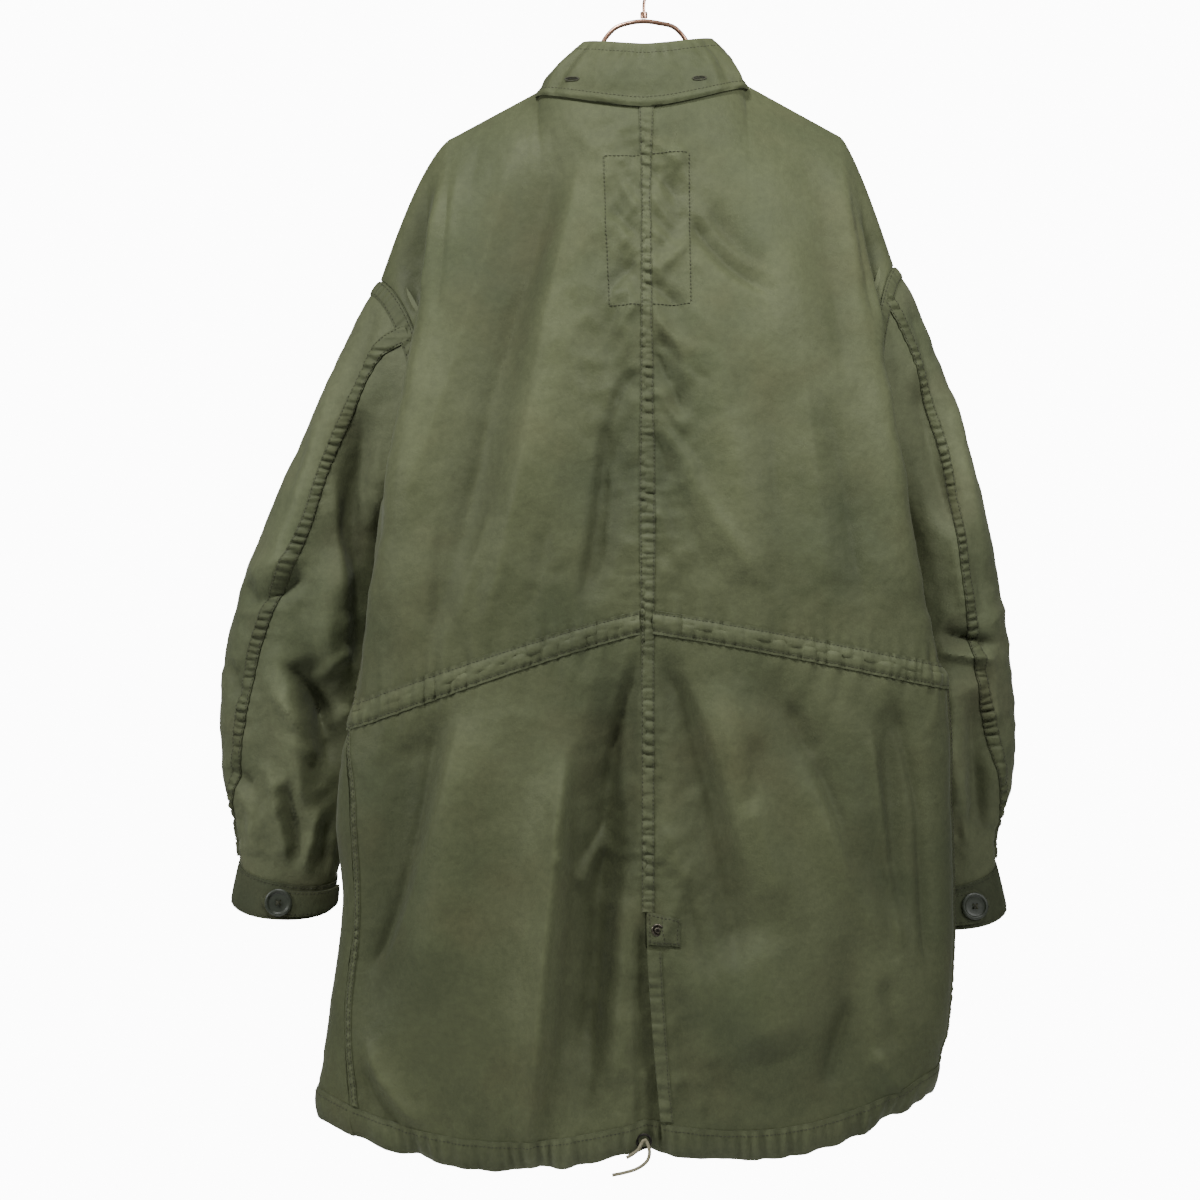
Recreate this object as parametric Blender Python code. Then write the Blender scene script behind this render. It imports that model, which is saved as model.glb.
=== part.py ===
"""Fishtail parka seen from behind, hanging on a plain wire hanger.

Frame: metres, +Z up, +X to the wearer's right, +Y to the wearer's front. The origin is the
inner top of the hanger's hook, where a rail carries it.

Every cloth piece is a thin wall whose outer face is a grid of points taken from one of two
forms: the torso, worked out from rows round the body, and the sleeves, worked out from
sections down the arm. Folds are ridges and troughs added to both.
"""

import math

import bpy
import numpy as np

# ---------------------------------------------------------------- driving sizes
CLOTH = 0.0015  # cloth wall
SEAM_GAP = 0.0003  # between pieces at a seam
LAY_GAP = 0.0006  # between a piece and the panel that it lies on
HALF_GAP = 0.0004  # half the gap where two cloth edges face each other
RIDGE_Y = 0.0003  # the back and front panels stand this far off the shoulder line
CHANNEL = 0.0125  # half the waist channel's height, as a share of a 1 m drop
HEM_DEPTH = 0.024  # height of the gathered hem casing
FELL = 0.0055  # half the width of a felled seam
WIRE = 0.0042  # thickness of the hanger's frame
HOOK_WIRE = 0.0030
HOOK_RADIUS = 0.0195  # inner radius of the hook
ARCH_TOP = -0.0716  # height of the hanger's arch below the hook's inner top

# ---------------------------------------------------------------- torso tables
# One row for each level of the body. v runs down the panels, z is the height at the centre
# back, the two sides and the centre front, w the half widths, d the depths behind and in
# front of the side line y_wide, sag the extra drop half way to each side. back is the angle
# from the centre back, in degrees, that the back panel ends at, and front the one that the
# front panel starts at: they part at the armhole. power is the squareness of the front half.
TORSO_COLUMNS = (
    "v", "z_back", "z_left", "z_right", "z_front", "w_left", "w_right", "d_back", "d_front",
    "y_wide", "back_left", "back_right", "front_left", "front_right", "power", "sag_left",
    "sag_right",
)
TORSO_ROWS = (
    (0.10, -0.240, -0.357, -0.352, -0.275, 0.216, 0.220, 0.074, 0.062, -0.026,
     86, 86, 130, 130, 3.00, 0.000, 0.000),
    (0.20, -0.342, -0.446, -0.442, -0.360, 0.230, 0.233, 0.096, 0.076, -0.044,
     93, 93, 133, 133, 3.00, 0.000, 0.000),
    (0.30, -0.443, -0.530, -0.528, -0.450, 0.245, 0.246, 0.108, 0.084, -0.056,
     103, 103, 125, 125, 2.70, 0.000, 0.000),
    (0.38, -0.524, -0.575, -0.570, -0.525, 0.251, 0.253, 0.114, 0.088, -0.058,
     118, 118, 118, 118, 1.90, 0.000, 0.000),
    (0.45, -0.592, -0.640, -0.628, -0.605, 0.267, 0.268, 0.119, 0.092, -0.058,
     108, 110, 108, 110, 1.90, 0.000, 0.000),
    (0.525, -0.659, -0.752, -0.713, -0.735, 0.283, 0.288, 0.116, 0.088, -0.050,
     80, 92, 80, 92, 2.00, 0.000, 0.000),
    (0.64, -0.782, -0.848, -0.825, -0.830, 0.298, 0.295, 0.125, 0.093, -0.045,
     64, 90, 64, 90, 2.00, 0.000, 0.000),
    (0.74, -0.884, -0.928, -0.912, -0.912, 0.292, 0.298, 0.129, 0.096, -0.045,
     66, 89, 66, 89, 2.00, -0.004, -0.004),
    (0.87, -1.010, -1.030, -1.018, -0.985, 0.304, 0.296, 0.133, 0.099, -0.045,
     64, 88, 64, 88, 2.00, -0.014, -0.010),
    (1.00, -1.135, -1.112, -1.090, -1.052, 0.316, 0.283, 0.128, 0.097, -0.045,
     56, 86, 56, 86, 2.00, -0.030, -0.026),
)
BACK_SQUARE = 2.6  # squareness of the back half
UNDERARM_V = 0.38
WAIST_V = 0.525
VENT_V = 0.79  # the centre back is open below this

# The top line: the neck seam round to the neck points, then down the shoulders.
NECK_LEFT, NECK_RIGHT = (-0.1035, -0.1405), (0.0985, -0.1330)
NECK_BACK, NECK_FRONT = (-0.054, -0.1610), (0.062, -0.2120)  # (y, z) at the centres
TIP_LEFT, TIP_RIGHT = (-0.1860, -0.1850), (0.1930, -0.1850)  # ends of the hanger
SHOULDER_LEFT, SHOULDER_RIGHT = (-0.2585, -0.3240), (0.2450, -0.3100)  # armhole tops
NECK_SHARE, TIP_SHARE = 0.30, 0.68  # where the neck and the tip fall across a half back

# ---------------------------------------------------------------- sleeve tables
# One row for each section down the arm: t, the outer and inner points in x and z, the middle
# in y, the depths behind and in front of it, the back seam's angle from the outer point, how
# much lower the section's back side hangs, and how far its back and front curve inwards.
SLEEVE_COLUMNS = (
    "t", "outer_x", "outer_z", "inner_x", "inner_z", "y_mid", "d_back", "d_front", "seam", "tilt",
    "curl",
)
SLEEVE_LEFT = (
    (0.00, -0.2590, -0.3250, -0.2370, -0.5300, 0.010, 0.044, 0.040, 66.3158, 0.000, 0.037),
    (0.07, -0.2826, -0.3600, -0.2490, -0.5385, 0.019, 0.041, 0.046, 60, 0.000, 0.022),
    (0.16, -0.3090, -0.4163, -0.2570, -0.5550, 0.031, 0.041, 0.052, 66, 0.000, 0.010),
    (0.25, -0.3310, -0.4630, -0.2610, -0.5730, 0.041, 0.044, 0.056, 72, 0.000, 0.003),
    (0.40, -0.3697, -0.5499, -0.2650, -0.6050, 0.048, 0.054, 0.060, 79, 0.000, 0.000),
    (0.58, -0.4113, -0.6588, -0.2680, -0.6850, 0.052, 0.054, 0.058, 66, 0.000, 0.000),
    (0.70, -0.4215, -0.7330, -0.2720, -0.7500, 0.055, 0.052, 0.056, 57, 0.000, 0.000),
    (0.82, -0.4180, -0.8083, -0.2810, -0.8150, 0.057, 0.050, 0.052, 44, 0.002, 0.000),
    (0.92, -0.4080, -0.8620, -0.2960, -0.8750, 0.058, 0.042, 0.043, 18, 0.006, 0.000),
    (1.00, -0.4020, -0.8990, -0.3060, -0.9150, 0.058, 0.033, 0.034, 5, 0.012, 0.000),
)
SLEEVE_RIGHT = (
    (0.00, 0.2460, -0.3110, 0.2380, -0.5300, 0.010, 0.044, 0.040, 47.3684, 0.000, 0.022),
    (0.07, 0.2660, -0.3400, 0.2490, -0.5385, 0.020, 0.041, 0.046, 54, 0.000, 0.014),
    (0.16, 0.2900, -0.3950, 0.2565, -0.5550, 0.033, 0.041, 0.052, 62, 0.000, 0.006),
    (0.25, 0.3110, -0.4560, 0.2590, -0.5740, 0.044, 0.044, 0.056, 69, 0.000, 0.002),
    (0.40, 0.3400, -0.5550, 0.2580, -0.6080, 0.053, 0.054, 0.060, 80, 0.000, 0.000),
    (0.58, 0.3640, -0.6700, 0.2480, -0.6870, 0.060, 0.054, 0.058, 76, 0.000, 0.000),
    (0.70, 0.3700, -0.7350, 0.2420, -0.7500, 0.063, 0.052, 0.056, 66, 0.000, 0.000),
    (0.82, 0.3690, -0.8150, 0.2450, -0.8200, 0.064, 0.050, 0.052, 48, 0.002, 0.000),
    (0.92, 0.3540, -0.8680, 0.2560, -0.8800, 0.064, 0.042, 0.043, 20, 0.006, 0.000),
    (1.00, 0.3520, -0.9010, 0.2620, -0.9200, 0.063, 0.033, 0.034, 5, 0.012, 0.000),
)
# The cuffs carry on from the last section, the same columns.
CUFF_LEFT = (
    (0.0, -0.4035, -0.8995, -0.3045, -0.9155, 0.058, 0.0345, 0.0355, 5, 0.012, 0.000),
    (1.0, -0.4110, -0.9360, -0.3070, -0.9400, 0.059, 0.0365, 0.0365, 5, 0.017, 0.000),
)
CUFF_RIGHT = (
    (0.0, 0.3535, -0.9015, 0.2605, -0.9205, 0.063, 0.0345, 0.0355, 5, 0.012, 0.000),
    (1.0, 0.3630, -0.9440, 0.2610, -0.9500, 0.061, 0.0365, 0.0365, 5, 0.018, 0.000),
)
SLEEVE_SQUARE = 2.2
UNDER_SPAN = 151.5789  # degrees round the arm that the under sleeve takes

# ---------------------------------------------------------------- fold tables
# Each row is one soft fold on a face, as seen square on: its upper and lower end in x and z,
# its half width and its height, below zero for a trough.
BACK_FOLDS = (
    # upper back, left half
    (-0.100, -0.210, -0.178, -0.600, 0.030, -0.010),
    (-0.180, -0.215, -0.238, -0.560, 0.020, 0.008),
    (-0.052, -0.240, -0.120, -0.560, 0.028, 0.007),
    (-0.030, -0.470, -0.046, -0.630, 0.018, -0.006),
    # upper back, right half
    (0.125, -0.190, 0.150, -0.420, 0.026, -0.006),
    (0.190, -0.200, 0.248, -0.600, 0.020, 0.006),
    (0.060, -0.265, 0.112, -0.330, 0.016, -0.006),
    (0.055, -0.330, 0.100, -0.600, 0.026, 0.006),
    # skirt, left half
    (-0.210, -0.765, -0.262, -0.990, 0.022, -0.014),
    (-0.165, -0.755, -0.215, -1.000, 0.028, 0.010),
    (-0.078, -0.790, -0.108, -1.120, 0.018, 0.012),
    (-0.026, -0.720, -0.062, -1.090, 0.022, -0.020),
    # skirt, right half
    (0.034, -0.720, 0.086, -0.960, 0.017, -0.018),
    (0.066, -0.730, 0.130, -0.930, 0.020, 0.010),
    (0.115, -0.725, 0.172, -0.800, 0.018, -0.011),
    (0.150, -0.790, 0.215, -0.960, 0.020, 0.009),
    (0.232, -0.740, 0.240, -0.960, 0.018, -0.008),
    (0.205, -0.900, 0.188, -1.060, 0.018, -0.012),
    (0.090, -0.960, 0.120, -1.060, 0.035, 0.010),
)
FRONT_FOLDS = (
    (-0.140, -0.240, -0.185, -0.620, 0.026, -0.008),
    (-0.090, -0.250, -0.110, -0.600, 0.024, 0.006),
    (0.095, -0.250, 0.130, -0.640, 0.024, -0.007),
    (0.150, -0.240, 0.190, -0.600, 0.024, 0.007),
    (-0.085, -0.790, -0.115, -1.040, 0.024, -0.012),
    (-0.155, -0.790, -0.190, -1.030, 0.028, 0.012),
    (0.085, -0.790, 0.105, -1.040, 0.024, 0.011),
    (0.150, -0.780, 0.180, -1.020, 0.026, -0.012),
)
LEFT_SLEEVE_FOLDS = (
    (-0.300, -0.420, -0.372, -0.640, 0.016, 0.006),
    (-0.275, -0.450, -0.300, -0.600, 0.016, -0.008),
    (-0.300, -0.600, -0.318, -0.720, 0.016, 0.007),
    (-0.352, -0.700, -0.335, -0.850, 0.014, 0.007),
    (-0.325, -0.690, -0.305, -0.800, 0.014, -0.010),
)
RIGHT_SLEEVE_FOLDS = (
    (0.270, -0.420, 0.300, -0.560, 0.015, -0.007),
    (0.300, -0.420, 0.330, -0.600, 0.014, 0.006),
    (0.300, -0.700, 0.308, -0.850, 0.014, 0.007),
    (0.325, -0.740, 0.330, -0.860, 0.013, -0.008),
)

# Gathers: waves along each strip. They add up to 144.
WAIST_WAVES = {"back_left": 16, "back_right": 16, "front_left": 8, "front_right": 8}
HEM_WAVES = {"back_left": 20, "back_right": 20, "front_left": 10, "front_right": 10}
SEAM_WAVES = 36


# ---------------------------------------------------------------- small maths
def smoothstep(x):
    x = np.clip(x, 0.0, 1.0)
    return x * x * (3 - 2 * x)


def eased(keys, values, at):
    """A smooth curve through values[k] at keys[k], read at each number of at."""
    keys, values, at = np.asarray(keys, float), np.asarray(values, float), np.asarray(at, float)
    steps = np.diff(keys).reshape((-1,) + (1,) * (values.ndim - 1))
    slopes = np.diff(values, axis=0) / steps
    tangents = np.concatenate([slopes[:1], (slopes[1:] + slopes[:-1]) / 2, slopes[-1:]])
    i = np.clip(np.searchsorted(keys, at, side="right") - 1, 0, len(keys) - 2)
    shape = at.shape + (1,) * (values.ndim - 1)
    width = (keys[i + 1] - keys[i]).reshape(shape)
    s = ((at - keys[i]).reshape(shape)) / width
    return (
        values[i] * (2 * s**3 - 3 * s**2 + 1)
        + tangents[i] * width * (s**3 - 2 * s**2 + s)
        + values[i + 1] * (3 * s**2 - 2 * s**3)
        + tangents[i + 1] * width * (s**3 - s**2)
    )


def column(rows, names, name):
    return np.array([row[names.index(name)] for row in rows], float)


def fold_height(folds, x, z):
    """The height of all folds of one face over the points x, z."""
    height = np.zeros(np.shape(x))
    for x0, z0, x1, z1, half_width, tall in folds:
        run_x, run_z = x1 - x0, z1 - z0
        length = math.hypot(run_x, run_z)
        along = ((x - x0) * run_x + (z - z0) * run_z) / length**2
        across = ((x - x0) * run_z - (z - z0) * run_x) / length
        fade = smoothstep((along + 0.12) / 0.35) * smoothstep((1.15 - along) / 0.35)
        height += tall * np.exp(-((across / half_width) ** 2)) * fade
    return height


def normals(form, a, b, step=0.002, low=-1e9, high=1e9):
    """Unit normals of form(a, b), where b runs down it, a staying between low and high."""
    a0, a1 = np.clip(a - step, low, high), np.clip(a + step, low, high)
    b0, b1 = np.clip(b - step, 0.0, 1.0), np.clip(b + step, 0.0, 1.0)
    across = form(a1, b) - form(a0, b)
    down = form(a, b1) - form(a, b0)
    n = np.cross(down, across)
    return n / np.maximum(np.linalg.norm(n, axis=-1, keepdims=True), 1e-9)


def mitre(*meeting):
    """The direction to thin a wall in where faces with these normals meet at a seam."""
    total = sum(meeting)
    total /= np.maximum(np.linalg.norm(total, axis=-1, keepdims=True), 1e-9)
    lean = np.maximum(np.min([np.sum(total * n, axis=-1) for n in meeting], axis=0), 0.5)
    return total / lean[..., None]


# ---------------------------------------------------------------- torso form
def shoulder_line(u):
    """The top line of the panels at each u: 0 centre back, 1 armhole, 2 centre front."""
    share = np.where(np.abs(u) <= 1, np.abs(u), 2 - np.abs(u))
    right, back = u >= 0, np.abs(u) <= 1
    neck, tip, shoulder = (
        np.where(right[..., None], r, l)
        for l, r in ((NECK_LEFT, NECK_RIGHT), (TIP_LEFT, TIP_RIGHT), (SHOULDER_LEFT, SHOULDER_RIGHT))
    )
    turn = np.clip(share / NECK_SHARE, 0, 1) * math.pi / 2
    centre_y = np.where(back, NECK_BACK[0], NECK_FRONT[0])
    centre_z = np.where(back, NECK_BACK[1], NECK_FRONT[1])
    x = neck[..., 0] * np.sin(turn)
    y = centre_y * np.cos(turn)
    z = centre_z + (neck[..., 1] - centre_z) * np.sin(turn) ** 1.5
    along = np.clip((share - NECK_SHARE) / (TIP_SHARE - NECK_SHARE), 0, 1)
    down = np.clip((share - TIP_SHARE) / (1 - TIP_SHARE), 0, 1)
    x = x + (tip[..., 0] - neck[..., 0]) * along + (shoulder[..., 0] - tip[..., 0]) * down**0.9
    z = z + (tip[..., 1] - neck[..., 1]) * along + (shoulder[..., 1] - tip[..., 1]) * down
    side = np.where(back, -1.0, 1.0)
    y = y + side * RIDGE_Y * smoothstep((share - 0.15) / 0.2)
    return np.stack([x, y, z], axis=-1)


def torso_row(row, u):
    """One level of the body at each u: a superellipse, squarer behind than in front."""
    get = dict(zip(TORSO_COLUMNS, row)).__getitem__
    right = u >= 0
    a = np.abs(u)
    back_end = np.where(right, get("back_right"), get("back_left"))
    front_start = np.where(right, get("front_right"), get("front_left"))
    angle = np.radians(
        np.where(a <= 1, a * back_end, front_start + (a - 1) * (180 - front_start))
    )
    s, c = np.abs(np.sin(angle)), np.cos(angle)
    power = np.where(c >= 0, BACK_SQUARE, get("power"))
    r = (s**power + np.abs(c) ** power) ** (-1 / power)
    x_share = s * r
    x = np.where(right, get("w_right"), -get("w_left")) * x_share
    y_wide = get("y_wide")
    y = y_wide + np.where(
        c >= 0, -(get("d_back") + y_wide) * c * r, (get("d_front") - y_wide) * -c * r
    )
    z_side = np.where(right, get("z_right"), get("z_left"))
    z_centre = np.where(c >= 0, get("z_back"), get("z_front"))
    sag = np.where(right, get("sag_right"), get("sag_left")) * np.where(c >= 0, 1.0, 0.3)
    z = z_centre + (z_side - z_centre) * x_share**1.15 + sag * np.sin(math.pi * x_share)
    return np.stack([x, y, z], axis=-1)


def sleeve_section(rows, angle, t):
    """Points round the arm: angle 0 at the outer point, 90 degrees behind, 180 inside."""
    get = {n: eased(column(rows, SLEEVE_COLUMNS, "t"), column(rows, SLEEVE_COLUMNS, n), t)
           for n in SLEEVE_COLUMNS}
    s, c = np.sin(angle), np.cos(angle)
    r = (np.abs(s) ** SLEEVE_SQUARE + np.abs(c) ** SLEEVE_SQUARE) ** (-1 / SLEEVE_SQUARE)
    across = c * r
    x = (get["outer_x"] + get["inner_x"]) / 2 + (get["outer_x"] - get["inner_x"]) / 2 * across
    z = (get["outer_z"] + get["inner_z"]) / 2 + (get["outer_z"] - get["inner_z"]) / 2 * across
    y = get["y_mid"] - np.where(s >= 0, get["d_back"], get["d_front"]) * s * r
    x = x - np.sign(rows[0][1]) * get["curl"] * np.abs(s) ** 1.5
    return np.stack([x, y, z - get["tilt"] * s * r], axis=-1)


def at_level(levels, v):
    """Reads a stack of rows at v, smoothly from row to row."""
    key = np.array([0.0] + [row[0] for row in TORSO_ROWS])
    i = np.clip(np.searchsorted(key, v, side="right") - 1, 0, len(key) - 2)
    slopes = np.diff(levels, axis=0) / np.diff(key).reshape(-1, *([1] * (levels.ndim - 1)))
    tangents = np.concatenate([slopes[:1], (slopes[1:] + slopes[:-1]) / 2, slopes[-1:]])
    tangents[0, ..., 1] *= 2.2  # the cloth leaves the shoulder line rounded, not straight
    width = (key[i + 1] - key[i])[..., None]
    s = (v - key[i])[..., None] / width
    pick = np.ogrid[tuple(slice(n) for n in v.shape)]

    def at(values, k):
        return values[(k, *pick)]

    return (
        at(levels, i) * (2 * s**3 - 3 * s**2 + 1)
        + at(tangents, i) * width * (s**3 - 2 * s**2 + s)
        + at(levels, i + 1) * (3 * s**2 - 2 * s**3)
        + at(tangents, i + 1) * width * (s**3 - s**2)
    )


def edge_rings(edge_u, back):
    """The rows' ends at the armholes, back and front."""
    near = edge_u * np.where(back, 1 - 1e-6, 1 + 1e-6)
    return np.stack([shoulder_line(near)] + [torso_row(row, near) for row in TORSO_ROWS])


def torso_form(u, v):
    """The body without folds. Above the underarm its edges follow the armholes."""
    u, v = np.broadcast_arrays(np.asarray(u, float), np.asarray(v, float))
    levels = np.stack([shoulder_line(u)] + [torso_row(row, u) for row in TORSO_ROWS])
    points = at_level(levels, v)
    share = np.where(np.abs(u) <= 1, np.abs(u), 2 - np.abs(u))
    edge_u = np.where(u >= 0, 1.0, -1.0)
    back = np.abs(u) <= 1
    turn = math.pi * np.clip(v / UNDERARM_V, 0, 1)
    angle = np.where(back, turn, -turn)
    armhole = np.where(
        (u >= 0)[..., None],
        sleeve_section(SLEEVE_RIGHT, angle, np.zeros(v.shape)),
        sleeve_section(SLEEVE_LEFT, angle, np.zeros(v.shape)),
    )
    side = np.where(back, -1.0, 1.0)
    armhole[..., 1] += side * RIDGE_Y * (1 - np.clip(v / UNDERARM_V, 0, 1))
    own, other = edge_rings(edge_u, back), edge_rings(edge_u, ~back)
    to_armhole = armhole - at_level(own, np.minimum(v, UNDERARM_V))
    to_armhole *= (1 - smoothstep((v - UNDERARM_V) / 0.07))[..., None]
    below = np.where(v > UNDERARM_V, 0.5, 0.0)[..., None]
    to_side_line = (at_level(other, v) - at_level(own, v)) * below
    pull = smoothstep((share - 0.78) / 0.22)
    return points + (to_armhole + to_side_line) * pull[..., None]


def panel_limits(u):
    """The lowest and highest u of the panel that each u is on."""
    low = np.where(u >= 0, np.where(u <= 1, 0.0, 1.0), np.where(u >= -1, -1.0, -2.0))
    return low, low + 1.0


def torso(u, v):
    """The body's outer face, folds included."""
    u, v = np.broadcast_arrays(np.asarray(u, float), np.asarray(v, float))
    points = torso_form(u, v)
    low, high = panel_limits(u)
    n = normals(torso_form, u, v, low=low + 1e-5, high=high - 1e-5)
    a = np.abs(u)
    behind, before = smoothstep((1.10 - a) / 0.22), smoothstep((a - 1.02) / 0.22)
    x, z = points[..., 0], points[..., 2]
    height = behind * fold_height(BACK_FOLDS, x, z) + before * fold_height(FRONT_FOLDS, x, z)
    share = np.where(a <= 1, a, 2 - a)
    at_armhole = smoothstep((1.0 - share) / 0.10)
    height = height * np.where(v < UNDERARM_V + 0.05, at_armhole, 1.0)
    at_waist = smoothstep((np.abs(v - WAIST_V) - CHANNEL) / 0.05)
    height = height * (0.1 + 0.9 * at_waist)
    height = height * smoothstep(v / 0.06) * smoothstep((1.06 - v) / 0.12)
    return points + n * height[..., None]


def sleeve_outer(rows, folds, angle, t):
    """A sleeve's outer face, folds included: they show behind and repeat in front."""
    angle, t = np.broadcast_arrays(np.asarray(angle, float), np.asarray(t, float))

    def plain(a, b):
        return sleeve_section(rows, a, b)

    points, n = plain(angle, t), normals(plain, angle, t)
    if rows[0][1] > 0:
        n = -n
    height = fold_height(folds, points[..., 0], points[..., 2]) * np.abs(np.sin(angle)) ** 0.5
    return points + n * (height * smoothstep(t / 0.08) * smoothstep((1.0 - t) / 0.1))[..., None]


# ---------------------------------------------------------------- making walls
def material(name, rgb, roughness, metallic=0.0):
    made = bpy.data.materials.new(name)
    made.use_nodes = True
    shader = made.node_tree.nodes["Principled BSDF"]
    shader.inputs["Base Color"].default_value = (*rgb, 1.0)
    shader.inputs["Roughness"].default_value = roughness
    shader.inputs["Metallic"].default_value = metallic
    return made


def add_object(name, points, faces, finish, smooth=True):
    mesh = bpy.data.meshes.new(name)
    mesh.from_pydata([tuple(p) for p in points], [], faces)
    mesh.materials.append(finish)
    made = bpy.data.objects.new(name, mesh)
    bpy.context.scene.collection.objects.link(made)
    if smooth:
        mesh.shade_smooth()
        mesh.set_sharp_from_angle(angle=math.radians(50))
    return made


def signed_volume(points, faces):
    total = 0.0
    for face in faces:
        for k in range(1, len(face) - 1):
            total += np.dot(points[face[0]], np.cross(points[face[k]], points[face[k + 1]]))
    return total


def wall(name, outer, inner, finish, closed=False):
    """A closed wall between two grids of points, rows by columns; closed joins the columns.

    Each four-sided patch is split along its valley, so that what spans it lies clear of it.
    """
    rows, cols = outer.shape[:2]
    points = np.concatenate([outer.reshape(-1, 3), inner.reshape(-1, 3)])
    inside = rows * cols
    last = cols if closed else cols - 1
    faces = []
    for r in range(rows - 1):
        for c in range(last):
            d = (c + 1) % cols
            a, b, e, f = r * cols + c, r * cols + d, (r + 1) * cols + d, (r + 1) * cols + c
            out = points[a] - points[inside + a] + points[e] - points[inside + e]
            if np.dot(points[a] + points[e] - points[b] - points[f], out) > 0:
                pair = (a, b, f), (b, e, f)
            else:
                pair = (a, b, e), (a, e, f)
            for three in pair:
                faces.append(three)
                faces.append(tuple(inside + k for k in reversed(three)))
    rim = [(0, c, 0, (c + 1) % cols) for c in range(last)]
    rim += [(rows - 1, (c + 1) % cols, rows - 1, c) for c in range(last)]
    if not closed:
        rim += [(r + 1, 0, r, 0) for r in range(rows - 1)]
        rim += [(r, cols - 1, r + 1, cols - 1) for r in range(rows - 1)]
    for r0, c0, r1, c1 in rim:
        a, b = r0 * cols + c0, r1 * cols + c1
        if a < b:  # facing edges are split the same way
            faces += [(b, a, inside + b), (a, inside + a, inside + b)]
        else:
            faces += [(b, a, inside + a), (b, inside + a, inside + b)]
    if signed_volume(points, faces) < 0:
        faces = [tuple(reversed(face)) for face in faces]
    return add_object(name, points, faces, finish)


def places(lines, waves, start=0.0, end=0.0):
    """Where to cut a strip along a set of lines, and the height of its waves there.

    Places are numbered by the lines' own points. Each wave has its foot and its crest, and
    the lines' own points come between, so that a strip follows what it lies on.
    """
    middle = np.mean(lines, axis=0)
    steps = np.concatenate([[0], np.cumsum(np.linalg.norm(np.diff(middle, axis=0), axis=1))])
    number = np.arange(len(steps))
    turning = np.interp(np.linspace(start, steps[-1] - end, waves * 2 + 1), steps, number)
    height = np.arange(waves * 2 + 1) % 2
    own = [k for k in number if turning[0] < k < turning[-1] and np.min(np.abs(turning - k)) > 0.02]
    at = np.sort(np.concatenate([turning, own]))
    return at, np.interp(at, turning, height)


def read_at(line, at):
    """A line of points read at fractions of its own point numbers."""
    number = np.arange(len(line))
    return np.stack([np.interp(at, number, line[:, k]) for k in range(3)], axis=1)


def laid_strip(name, lines, outward, at, thick, finish):
    """A strip on a panel, made from lines of the panel's own points, moved out.

    thick is its thickness at each place; its underside stays plain.
    """
    base = np.stack([read_at(line, at) for line in lines])
    out = np.stack([read_at(line, at) for line in outward])
    out /= np.linalg.norm(out, axis=-1, keepdims=True)
    inner = base + out * LAY_GAP
    return wall(name, inner + out * np.broadcast_to(thick, at.shape)[:, None], inner, finish)


# ---------------------------------------------------------------- torso pieces
PANEL_ROWS = (
    0.0, 0.012, 0.035, 0.065, 0.10, 0.14, 0.18, 0.22, 0.26, 0.30, 0.34, 0.38, 0.42, 0.465,
    WAIST_V - CHANNEL, WAIST_V + CHANNEL, 0.58, 0.62, 0.66, 0.70, 0.745, 0.79, 0.83, 0.87, 0.91,
    0.955, 1.0,
)
WAIST_TOP, WAIST_LOW = PANEL_ROWS.index(WAIST_V - CHANNEL), PANEL_ROWS.index(WAIST_V + CHANNEL)
VENT_ROW = PANEL_ROWS.index(VENT_V)
UNDERARM_ROW = PANEL_ROWS.index(UNDERARM_V)
FELL_U = 0.0112  # the felled seam's half width as a share of a half back
BACK_COLUMNS = (
    0.0, FELL_U, 0.075, 0.15, 0.225, 0.30, 0.39, 0.48, 0.57, 0.65, 0.72, 0.79, 0.85, 0.91, 0.96, 1.0,
)
FRONT_COLUMNS = (
    1.0, 1.04, 1.09, 1.15, 1.21, 1.32, 1.45, 1.58, 1.70, 1.77, 1.83, 1.885, 1.94, 2.0,
)
FLY_COLUMN = FRONT_COLUMNS.index(1.94)
SIDE_GAP = 0.0009  # kept off each panel's two edges, as a share of a half back
UNDERLAP = 0.052  # how far the left tail runs on under the right one, as a share of a half back
UNDERLAP_DEPTH = 0.007
VENT_DRIFT = 0.020  # how far the right tail's edge swings off centre at the hem


def torso_normals(u, v):
    low, high = panel_limits(u)
    return normals(torso, u, v, low=low + 1e-5, high=high - 1e-5)


def panel_grid(side, back):
    """(outer points, the directions to thin the wall in) of a panel; side -1 is the left."""
    v = np.array(PANEL_ROWS)[:, None]
    share = np.array(BACK_COLUMNS if back else FRONT_COLUMNS)[None, :]
    if back:
        drift = VENT_DRIFT * np.clip((v - VENT_V) / (1 - VENT_V), 0, 1)
        edge = drift if side > 0 else -UNDERLAP * smoothstep((v - VENT_V - 0.03) / 0.04)
        share = edge + share * (1 - edge)
        share = np.clip(share, edge + SIDE_GAP, 1 - SIDE_GAP)
    else:
        share = np.clip(share, 1 + SIDE_GAP, 2 - SIDE_GAP)
    u = side * share + 0 * v
    v = v + 0 * u
    points, n = torso(u, v), torso_normals(u, v)
    inner_share = np.where(share <= 1, share, 2 - share)
    on_ridge = (v == 0) & (inner_share > NECK_SHARE * 0.9)
    across = torso_normals(side * (2 - share) + 0 * v, v)
    n = np.where(on_ridge[..., None], mitre(n, across), n)
    at_edge = np.abs(share - 1) < 0.01
    at_armhole = at_edge & (v < UNDERARM_V + 0.001)
    n = np.where(at_armhole[..., None], armhole_thinning(side, v, back, False), n)
    if back and side < 0:
        x = points[..., 0]
        tuck = smoothstep((x + 0.014) / 0.010) * smoothstep((v - VENT_V) / 0.04)
        points = points - n * (UNDERLAP_DEPTH * tuck)[..., None]
    return points, n


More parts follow.
